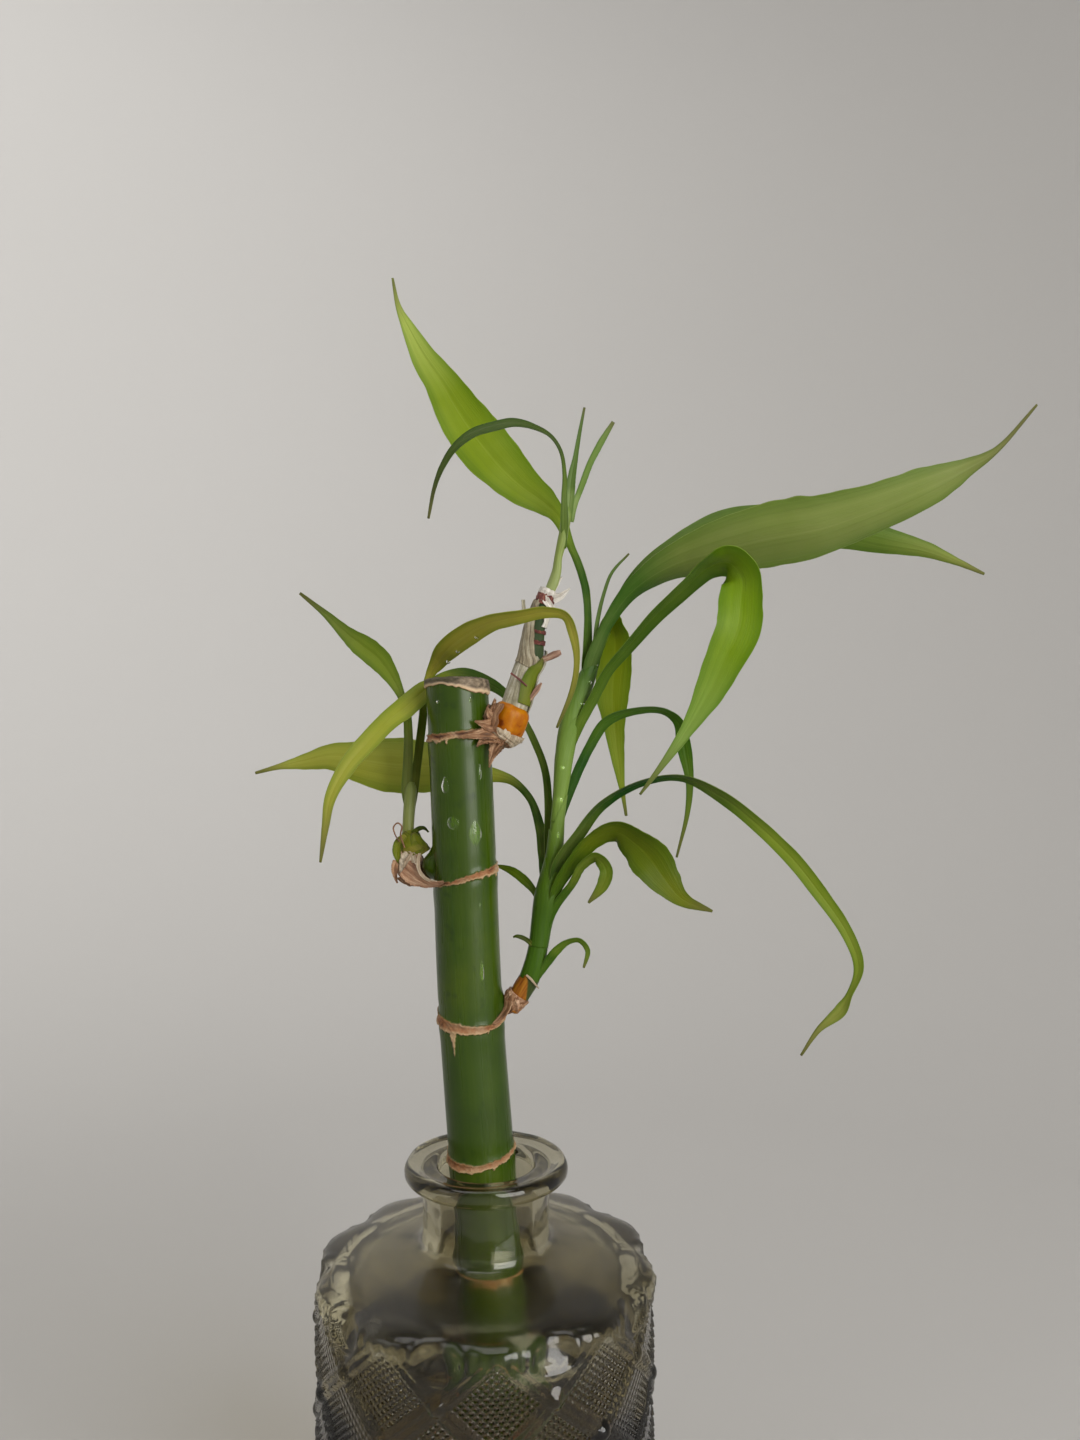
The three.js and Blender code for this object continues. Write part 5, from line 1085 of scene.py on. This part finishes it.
hung("left_shoot_husk", "left_husk", [
    folded("knob", LEFT_KNOB, 90, 108, 11, 0.3, 3, husk_pink, twist=0.9),
    wrapped(LEFT_KNOB, 60, [(0, 60), (0.5, 80), (1, 40)], [(0, 0.1), (0.7, 0.5), (1, 0.9)], husk_brown,
            31, 0.0, 0.5, tear=0.16, crumple=0.25),
    wrapped(LEFT_KNOB, 250, [(0, 70), (0.5, 90), (1, 50)], [(0, 0.1), (0.7, 0.4), (1, 0.7)], husk_brown,
            32, 0.0, 0.85, tear=0.1, crumple=0.2),
    wrapped(LEFT_KNOB, 100, [(0, 60), (0.5, 46), (1, 26)], [(0, 0.1), (0.6, 0.3), (1, 0.5)], husk_cream,
            33, 0.42, 1.0, tear=0.14, crumple=0.25),
    wrapped(LEFT_KNOB, 170, [(0, 44), (0.5, 50), (1, 24)], [(0, 0.1), (0.6, 0.3), (1, 0.5)], husk_pink,
            37, 0.3, 0.92, tear=0.14, crumple=0.25),
    # The tongues that run from the knob round the green swelling into the scar.
    flake([[-21.4, 0.8, 221, 4.6, 0], [-19.2, -0.6, 219.4, 5, 5], [-17, -1.9, 218.2, 3.6, 10],
           [-14.8, -3.2, 217.5, 2.3, 15], [-12.6, -4.7, 217.7, 1.5, 15], [-10.6, -5.8, 218.3, 0.7, 15]],
          husk_pink, 38, rows=70, columns=21, crumple=0.2, rough=0.08, cup=0.15),
    flake([[-17.4, -0.6, 225, 0.6, 10], [-17.6, -1.9, 223, 1, 15], [-17.3, -2.5, 221, 1, 15],
           [-16.2, -3, 219.4, 0.9, 15], [-14.4, -3.8, 218.4, 0.8, 15], [-12.4, -5, 218.2, 0.5, 15]],
          husk_cream, 39, rough=0.12),
    flake([[-24, 2.4, 222.8, 1.8, -20], [-24.4, 2.2, 220.6, 1.7, -20], [-24.1, 2.2, 218.4, 0.9, -10],
           [-23.6, 2.2, 216.8, 0.3, 0]], husk_brown, 34, rough=0.15),
    flake([[-21.4, 1.4, 220.6, 1.4, 0], [-20.6, 0.9, 222.8, 1.6, 0], [-19.6, 1.2, 225, 0.5, 0]],
          husk_cream, 36, rough=0.15),
    # A root thread that loops out above the knob.
    skin("thread", tube([[-21.6, 1.6, 226.2, 0.5, 0.5], [-22.6, 1.2, 229.6, 0.45, 0.45],
                         [-22.3, 1, 232, 0.45, 0.45], [-23.4, 1, 232.8, 0.42, 0.42],
                         [-24.5, 1.2, 231.6, 0.4, 0.4], [-23.9, 1.4, 229.4, 0.36, 0.36],
                         [-22.9, 1.6, 227.8, 0.3, 0.3]], 60, 8), husk_brown,
         uv=tube_uv([[-21.6, 1.6, 226.2, 0.5, 0.5], [-22.9, 1.6, 227.8, 0.3, 0.3]], 60, 8)),
])

BUD_CUP = [[3, -0.4, 253.8, 3, 3], [3.5, -0.4, 254.6, 7.2, 6.8], [4.2, -0.4, 256.2, 9.9, 9.6],
           [6.1, -0.5, 260.3, 10.1, 9.9], [8, -0.6, 264.4, 9.9, 9.7]]
hung("top_shoot_husk", "top_husk", [
    flake(points, husk_brown, 50 + k, cup=0.25, rows=56, columns=17, crumple=0.22, rough=0.14)
    for k, points in enumerate(STAR_POINTS)
] + [
    wrapped(BUD_CUP, 90, [(0, 180), (1, 178)], [(0, 0), (1, 0.15)], husk_brown, 61, 0.0, 0.46, thick=0.4,
            columns=72, tear=0.1, crumple=0.16),
    wrapped(BUD_CUP, 118, [(0, 120), (1, 78)], [(0, 0.15), (1, 0.55)], husk_cream, 62, 0.24, 0.58,
            thick=0.3, columns=64, tear=0.12, crumple=0.2),
    wrapped(BUD_CUP, 25, [(0, 74), (0.5, 52), (1, 34)], [(0, 0.3), (0.6, 0.7), (1, 0.5)], husk_brown, 63,
            0.2, 0.86, thick=0.4, columns=48, tear=0.16, crumple=0.4),
    wrapped(BUD_CUP, 4, [(0, 50), (0.5, 40), (1, 22)], [(0, 0.9), (0.6, 1.5), (1, 1.1)], husk_pink, 64,
            0.26, 0.76, thick=0.4, columns=40, tear=0.2, crumple=0.45),
    wrapped(BUD_CUP, 300, [(0, 80), (1, 50)], [(0, 0.3), (1, 0.6)], husk_brown, 65, 0.2, 0.8, thick=0.4,
            columns=40, tear=0.14, crumple=0.3),
])

hung("right_shoot_husk", "right_husk", [
    folded("grip", RIGHT_HUSK, 70, 84, 5, 0.12, 8, husk_pink, twist=0.5),
    wrapped(RIGHT_HUSK, 60, [(0, 70), (1, 46)], [(0, 0.1), (1, 0.3)], husk_brown, 71, 0.0, 0.9, tear=0.14,
            crumple=0.22),
    wrapped(RIGHT_HUSK, 130, [(0, 40), (1, 34)], [(0, 0.1), (1, 0.4)], husk_pink, 74, 0.3, 1.0, tear=0.12,
            crumple=0.22),
    wrapped(RIGHT_HUSK, 230, [(0, 90), (1, 70)], [(0, 0.1), (1, 0.3)], husk_brown, 72, 0.0, 0.9, tear=0.1,
            crumple=0.2),
    # It runs on along the cane into the scar.
    flake([[6.2, -2.6, 187, 2.6, 40], [5.6, -3, 184.8, 2.4, 50], [4.2, -3.4, 182.8, 2, 55],
           [2.2, -5, 181.4, 1, 50]], husk_brown, 75, rough=0.12, cup=0.1),
    flake([[8.6, -1.8, 185.6, 1.2, 20], [9.8, -1.9, 185.9, 1.4, 30], [11, -1.8, 186.6, 0.7, 40]],
          husk_brown, 73, rough=0.15),
])


# ---- The orange bud and the right shoot's foot ----------------------------------------------
# Fresh roots colour the plant orange: a plump waxy bud in the top husk, and the lowest scale
# of the right shoot, orange on the cane's side and green on the other.

BUD_FOOT, BUD_HEAD = [4.2, -0.4, 256.2], [8, -0.6, 264.4]
RIGHT_BASE = [[6.6, 0.5, 184, 4.5, 4], [8.2, 0.4, 186.4, 5, 4.5], [9.8, 0.2, 189.4, 5.4, 4.9],
              [11.4, 0.1, 192, 5.4, 4.9], [12, 0.1, 193.6, 5.2, 4.6]]
BUD_AXIS = np.array(BUD_HEAD) - BUD_FOOT
BUD_AXIS /= np.linalg.norm(BUD_AXIS)
BUD_START, BUD_LENGTH, BUD_RADIUS = -0.8, 9.6, 4.95

bud_skin, tree, shader = new_material("bud_skin", Roughness=0.4, Specular_IOR_Level=0.2,
                                      Subsurface_Weight=0.15, Subsurface_Scale=0.002,
                                      Subsurface_Radius=(1.0, 0.5, 0.15))
blush = noise(tree, 260.0, 4.0, 0.6)
orange = ramp(blush, [(0.32, colour(104, 42, 2)), (0.42, colour(164, 90, 0)), (0.56, colour(178, 108, 0)),
                      (0.76, colour(192, 130, 4))])
feed(shader, Base_Color=over(orange, colour(128, 62, 2), fibrous(tree, 0.5, 6.0), 0.3),
     Normal=bump(blush, 0.5, 0.0004))

crown = shares(60)
around = circle(72)
side = np.array([BUD_AXIS[2], 0, -BUD_AXIS[0]])
front = np.cross(side, BUD_AXIS)
swell = BUD_RADIUS * (1.0001 - abs(2 * crown - 1) ** 4) ** 0.4
swell = swell + 0.16 * ragged(around + 0.8 * crown, 12, 2, 12) - 0.12 * abs(np.sin(2.5 * around + crown)) ** 8
rise = (BUD_START + BUD_LENGTH * crown) + 0 * around
bud = (np.array(BUD_FOOT) + rise[..., None] * BUD_AXIS
       + (swell * np.cos(around))[..., None] * side + (swell * np.sin(around))[..., None] * -front)
bud_uv = np.stack(np.meshgrid(np.linspace(0, 30, 73), np.linspace(0, 9, 60)), -1)
thing = skin("top_shoot_bud", bud, bud_skin, uv=bud_uv)
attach(thing, "root")
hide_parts("top_bud")

# The lowest scale narrows upwards on the cane's side; it is orange where this is over 0.
share = shares(70)
around = circle(60)
foot_scale = np.clip(1.25 - 1.3 * share, 0, 1) - abs(((around - 0.9 + np.pi) % (2 * np.pi)) - np.pi) / 1.9
base_skin, tree, shader = new_material("orange_foot_skin", Roughness=0.4, Specular_IOR_Level=0.35)
streaks = fibrous(tree, 0.5, 8.0)
orange = ramp(weighed(noise(tree, 300.0, 4.0), streaks, 0.5),
              [(0.2, colour(112, 52, 8)), (0.5, colour(146, 88, 6)), (0.8, colour(170, 122, 30))])
feed(shader, Base_Color=over(colour(52, 66, 16), orange, ranged(field(tree, "scale"), -0.04, 0.06)),
     Normal=bump(streaks, 0.5, 0.0003))
thing = folded("right_shoot_foot", RIGHT_BASE, 70, 60, 5, 0.07, 15, base_skin, scale=foot_scale)
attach(thing, "root")
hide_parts("right_base")


# ---- The left shoot's scales ----------------------------------------------------------------
# Small green scale leaves close round the left shoot's foot above the husk; the longest one
# ends in a dark curl towards the cane.

LEFT_SCALES = [[-19, 4.5, 224, 7.6, 4.8], [-19.8, 4.8, 226, 6.6, 4.2], [-20.4, 5.2, 228.2, 5, 3.2],
               [-21, 5.7, 230.2, 3.8, 2.8]]
scale_green = leaf_skin("scale_green_skin", (128, 120, 50), (106, 112, 26), (92, 96, 22), (140, 140, 64))
scale_dark = leaf_skin("scale_dark_skin", (84, 92, 30), (58, 66, 22), (40, 44, 20), (96, 104, 44))
hung("left_shoot_scales", "left_scales", [
    folded("core", LEFT_SCALES, 40, 48, 5, 0.12, 5, scale_green, along=0.4, across=0.5),
    wrapped(LEFT_SCALES, 70, [(0, 70), (0.6, 50), (1, 8)], [(0, 0.3), (1, 0.3)], scale_green, 81, 0.1,
            1.0, tear=0.02),
    wrapped(LEFT_SCALES, 200, [(0, 60), (0.6, 40), (1, 6)], [(0, 0.35), (1, 0.2)], scale_green, 82, 0.0,
            0.9, tear=0.02),
    flake([[-21.6, 2.9, 229.4, 1.4, 0], [-23.4, 2.6, 227.4, 2.2, -10], [-23.8, 2.4, 224.6, 2, -10],
           [-22.6, 2.2, 221.4, 0.4, 0]], scale_green, 83),
    flake([[-16.6, 3.2, 224.6, 3.4, 0], [-18.4, 3.2, 227.4, 3.6, 0], [-19.6, 3.6, 230, 1, 0]],
          scale_green, 84),
    flake([[-19.6, 4.2, 229.8, 1.5, 0], [-18.2, 3.8, 231, 1.2, 0], [-16.8, 3.6, 231.3, 0.9, 0],
           [-15.4, 3.6, 230.2, 0.3, 0]], scale_dark, 85, cup=0.5),
])


# ---- The top shoot's sheath -----------------------------------------------------------------
# The old shoot below the top leaves: a knobbly foot wrapped in dry grey and cream leaf bases,
# with a green patch, a broken stub, a split papery strip and a white torn collar at the top.

TOP_SHEATH = [[7, -0.5, 262.2, 6.6, 6.1], [8.2, -0.3, 265.6, 6.6, 6.1], [9.4, 0, 270, 6.1, 5.6],
              [10.4, 0, 273.2, 6, 5.6], [11.8, 0, 276, 6.4, 5.8], [12.4, 0, 280.2, 5.8, 5.4],
              [13, 0, 284.2, 5.2, 5], [14.2, 0, 288.2, 4.6, 4.4], [15.6, 0, 291.8, 4.2, 3.8],
              [16.6, 0.1, 294.2, 3.5, 3.2]]
sheath_grey = dry_skin("sheath_grey", (84, 74, 56), (144, 132, 106), (196, 188, 164), size=1.3)
sheath_cream = dry_skin("sheath_cream", (100, 94, 66), (156, 150, 126), (212, 206, 190), size=1.5)
sheath_white = dry_skin("sheath_white", (170, 160, 146), (212, 206, 196), (240, 236, 228), size=1.2,
                        gloss=0.4)
sheath_red = dry_skin("sheath_red", (62, 24, 24), (104, 48, 44), (150, 92, 66))
sheath_green = leaf_skin("sheath_green_skin", (112, 118, 44), (110, 122, 40), (120, 122, 56),
                         (140, 146, 70))
sheath_deep = leaf_skin("sheath_deep_skin", (52, 66, 44), (58, 74, 50), (70, 82, 52), (96, 104, 70))
stub_brown = dry_skin("stub_brown", (112, 80, 66), (158, 122, 100), (196, 168, 144))
hung("top_shoot_sheath", "top_sheath", [
    folded("core", TOP_SHEATH, 150, 60, 7, 0.08, 21, sheath_deep, along=0.5, across=0.5),
    wrapped(TOP_SHEATH, 75, [(0, 172), (1, 168)], [(0, 0.15), (1, 0.2)], sheath_cream, 91, 0.0, 0.46,
            columns=56, tear=0.03, crumple=0.05),
    wrapped(TOP_SHEATH, 10, [(0, 130), (0.25, 96), (0.6, 76), (1, 60)],
            [(0, 0.35), (0.5, 0.45), (1, 0.4)], sheath_grey, 92, 0.36, 0.84, columns=56, crumple=0.08),
    wrapped(TOP_SHEATH, 150, [(0, 70), (1, 56)], [(0, 0.12), (1, 0.22)], sheath_red, 106, 0.545, 0.575,
            columns=30, tear=0.3, crumple=0.04),
    wrapped(TOP_SHEATH, 150, [(0, 70), (1, 56)], [(0, 0.12), (1, 0.22)], sheath_red, 107, 0.625, 0.65,
            columns=30, tear=0.3, crumple=0.04),
    wrapped(TOP_SHEATH, 138, [(0, 40), (0.4, 50), (0.8, 34), (1, 6)], [(0, 0.5), (1, 0.75)], sheath_green,
            93, 0.08, 0.46, columns=30, tear=0.02, crumple=0.04),
    wrapped(TOP_SHEATH, 186, [(0, 22), (1, 30)], [(0, 0.7), (0.5, 1), (1, 0.9)], sheath_cream, 94, 0.02,
            0.5, thick=0.2, columns=20, crumple=0.05),
    # The dark edge where two leaf bases overlap.
    flake([[6.6, -3.5, 272.2, 0.3, 0], [9, -3.75, 270.4, 0.55, 10], [10.8, -3.6, 268.8, 0.3, 20]],
          sheath_red, 99, cup=0, crumple=0.02),
    wrapped(TOP_SHEATH, 100, [(0, 80), (1, 60)], [(0, 0.1), (1, 0.4)], sheath_red, 95, 0.74, 0.8,
            columns=30, tear=0.2),
    wrapped(TOP_SHEATH, 170, [(0, 50), (1, 30)], [(0, 0.2), (1, 0.8)], sheath_white, 96, 0.68, 0.86,
            columns=30, tear=0.12),
    wrapped(TOP_SHEATH, 110, [(0, 130), (1, 110)], [(0, 0.1), (1, 0.3)], sheath_red, 97, 0.84, 0.93,
            columns=40, tear=0.16),
    wrapped(TOP_SHEATH, 100, [(0, 150), (1, 150)], [(0, 0.1), (0.5, 0.5), (1, 0.5)], sheath_white, 98,
            0.92, 1.0, columns=40, tear=0.12),
    folded("stub", [[13.2, -0.6, 275.4, 1.8, 1.8], [16, -0.9, 276.2, 1.7, 1.7],
                    [18.6, -1, 277.3, 1.8, 1.8], [19.7, -1, 277.7, 1.2, 1.2]], 40, 30, 5, 0.12, 41,
           stub_brown, uv=tube_uv([[13.2, -0.5, 275.4, 1.6, 1.6], [19.8, -1, 277.6, 1.3, 1.3]], 40, 30)),
    flake([[10.6, -1.6, 264.4, 0.9, 10], [12.2, -2, 266.4, 1.2, 20], [13.6, -2.3, 268.4, 1.3, 20],
           [14.6, -2.4, 269.7, 0.4, 20]], stub_brown, 101, cup=0.6),
    flake([[9.8, -1.6, 291.4, 0.9, 0], [9.9, -1.9, 290, 0.9, 0], [10.4, -1.6, 286, 1, 0]], sheath_cream,
          102),
    flake([[17.6, -1, 291.6, 2.4, 10], [19.6, -1.4, 292.4, 1.8, 10], [22, -1.6, 294.4, 0.3, 10]],
          sheath_white, 103),
    flake([[17.4, 0.4, 294.4, 2.2, -10], [18.8, 0.2, 296.2, 1.4, -10], [20, 0, 297.6, 0.3, 0]],
          sheath_white, 104),
    flake([[15.2, -1.8, 292, 1.8, 0], [16.4, -2.2, 290.4, 1.8, 0], [17.8, -2.3, 288.6, 0.6, 0]],
          sheath_white, 105),
])


# ---- The leaf sheaths -----------------------------------------------------------------------
# Every leaf's foot wraps the stem below it; its free edge shows as a slanting line. The lowest
# has only a tiny dark curl left, under a dried pale edge across the shoot's foot.

# Each sheath: which way it faces, where on the stem it starts and ends, and its half angle.
SHEATHS = [(10, 0.10, 0.36, 130), (170, 0.14, 0.34, 120), (20, 0.24, 0.44, 120), (160, 0.30, 0.54, 120),
           (120, 0.46, 0.76, 130), (40, 0.58, 0.9, 130), (150, 0.66, 0.94, 110)]
TINY_CURL = [[13.4, -0.6, 199.6, 1.5, 0], [11.6, -1.2, 201.8, 1.2, 0], [9.6, -1.7, 203.2, 1.1, 0],
             [8, -2, 203.6, 0.8, 0], [7.2, -2, 203.3, 0.3, 0]]
PALE_EDGE = [[10.6, -2.6, 193.6, 0.5, 0.3], [11.8, -2.9, 192.6, 0.7, 0.4], [13.2, -2.6, 190.8, 0.5, 0.3],
             [13.9, -1.8, 189.9, 0.3, 0.2]]

sheaths = [wrapped(RIGHT_STEM, facing, [(0, 170), (0.55, wide), (1, 16)], [(0, 0.0), (0.2, 0.07), (1, 0.3)],
                   right_green, 110 + k, start, end, thick=0.14, columns=40, tear=0.01, crumple=0.02,
                   on_stem=True) for k, (facing, start, end, wide) in enumerate(SHEATHS)]
sheaths.append(flake(TINY_CURL, scale_dark, 117, cup=0.5))
sheaths.append(skin("edge", tube(PALE_EDGE, 40, 8), husk_cream,
                    uv=tube_uv([PALE_EDGE[0], PALE_EDGE[-1]], 40, 8)))
thing = joined("right_stem_sheaths", sheaths)
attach(thing, "root")


# ---- The water drops ------------------------------------------------------------------------
# The plant has been sprayed: drops cling to the cane's front and to the right stem, the larger
# ones drawn down into tears, and three small ones to the second left leaf.

# Seen from the camera: across and down in the photograph's pixels, and their half sizes.
CANE_DROPS = [[453, 823, 6, 6.2], [475.5, 833, 7.5, 13], [480, 773, 2, 9], [482, 972, 2.6, 11],
              [445, 785, 4.5, 8], [457, 886, 3, 2], [438, 702, 2.4, 1.4], [470, 700, 1.4, 3],
              [480, 905, 1.6, 2.4]]
STEM_DROPS = [[562, 768, 3.2, 2.2], [560, 800, 3.8, 2.6], [597, 664, 3, 2.6], [590, 682, 3.4, 2.6],
              [583, 705, 4, 3], [558, 836, 2, 3], [541, 975, 1.6, 3]]
# Where they are, and their half sizes.
LEAF_DROPS = [[-10.0, 1.6, 275.4, 0.6], [-7.4, -0.4, 278.0, 0.5], [-2.2, -4.6, 281.4, 0.5]]
PICTURE_MIDDLE, FOCAL_PIXELS = (540, 720), 1087
PIXEL_SIZE = 0.26                  # in millimetres, about where the plant stands
LENS_ROWS, BACK_ROWS = 14, 6       # of a drop's free face and of its back in the skin

drop_water, tree, shader = new_material("drop_water", Base_Color=(0.96, 0.98, 0.93, 1), Roughness=0.02,
                                        IOR=1.333, Transmission_Weight=1.0)
lit_through(shader, (0.97, 0.98, 0.95, 1))


def drop(middle, outward, wide, tall, proud, bend):
    """A drop on a skin that bends away by the square of the distance aside over twice its radius:
    a low lens, proud times one minus the square of the share of its rim, over a back that is
    sunk in the skin. A long one narrows towards its top."""
    rim_share = np.r_[np.linspace(0.04, 1, LENS_ROWS), np.linspace(1, 0.04, BACK_ROWS)][:, None]
    front = np.r_[np.ones(LENS_ROWS), np.zeros(BACK_ROWS)][:, None]
    around = circle(28)
    outward = np.array(outward) / np.linalg.norm(outward)
    side = np.cross([0, 0, 1], outward)
    tear = 1 - 0.45 * step(np.sin(around), -0.3, 1) * (tall > 1.5 * wide)
    aside, upward = wide * rim_share * np.cos(around) * tear, tall * rim_share * np.sin(around)
    heavy = 1 - 0.35 * np.sin(around) * rim_share
    lens = proud * (1 - rim_share ** 2) ** 1.15 * heavy * front - 0.22 * (1 - front) + 0.02
    height = lens - aside ** 2 / (2 * bend)
    return (np.array(middle) + aside[..., None] * side + height[..., None] * outward
            + upward[..., None] * np.array([0, 0, 1]))


def seen_on(route, thickness, across, below):
    """Where a line of sight through a pixel meets the front of an upright stem, and the skin's
    outward direction there."""
    right, down = across - PICTURE_MIDDLE[0], below - PICTURE_MIDDLE[1]
    place = np.array([EYE[0] + right * PIXEL_SIZE, 0, EYE[2] - down * PIXEL_SIZE])
    for _ in range(4):
        centre = [np.interp(place[2], route[:, 2], route[:, k]) for k in (0, 1)]
        size = np.interp(place[2], route[:, 2], thickness)
        aside = np.clip((place[0] - centre[0]) / size, -0.95, 0.95)
        place[1] = centre[1] - size * math.sqrt(1 - aside ** 2)
        near = (place[1] - EYE[1]) / FOCAL_PIXELS
        place[0], place[2] = EYE[0] + right * near, EYE[2] - down * near
    return place, (aside, -math.sqrt(1 - aside ** 2), 0)


cane_size = np.interp(route[:, 2], [CANE_FOOT, CANE_TOP], [CANE_RADIUS_LOW, CANE_RADIUS_TOP])
stem_route = smooth_path(RIGHT_STEM, PATH_POINTS)
drops = []
for places, line, sizes in ((CANE_DROPS, route, cane_size), (STEM_DROPS, stem_route, stem_route[:, 3] / 2)):
    for across, below, wide, tall in places:
        middle, outward = seen_on(line, sizes, across, below)
        bend = np.interp(middle[2], line[:, 2], sizes)
        proud = min(0.36, 0.045 * wide + 0.07)
        shape = drop(middle, outward, wide * PIXEL_SIZE, tall * PIXEL_SIZE, proud, bend)
        drops.append(skin("drop", shape, drop_water))
for x, y, z, size in LEAF_DROPS:
    drops.append(skin("drop", drop((x, y, z), (0, -1, 0), size, size * 0.9, size * 0.7, 40), drop_water))
thing = joined("water_drops", drops)
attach(thing, "root")


# ---- The end --------------------------------------------------------------------------------
# Both boxes are kept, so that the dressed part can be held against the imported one.

visual_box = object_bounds()
sizes = {name: [list(map(float, corner)) for corner in box]
         for name, box in (("cad", cad_box), ("visual", visual_box))}
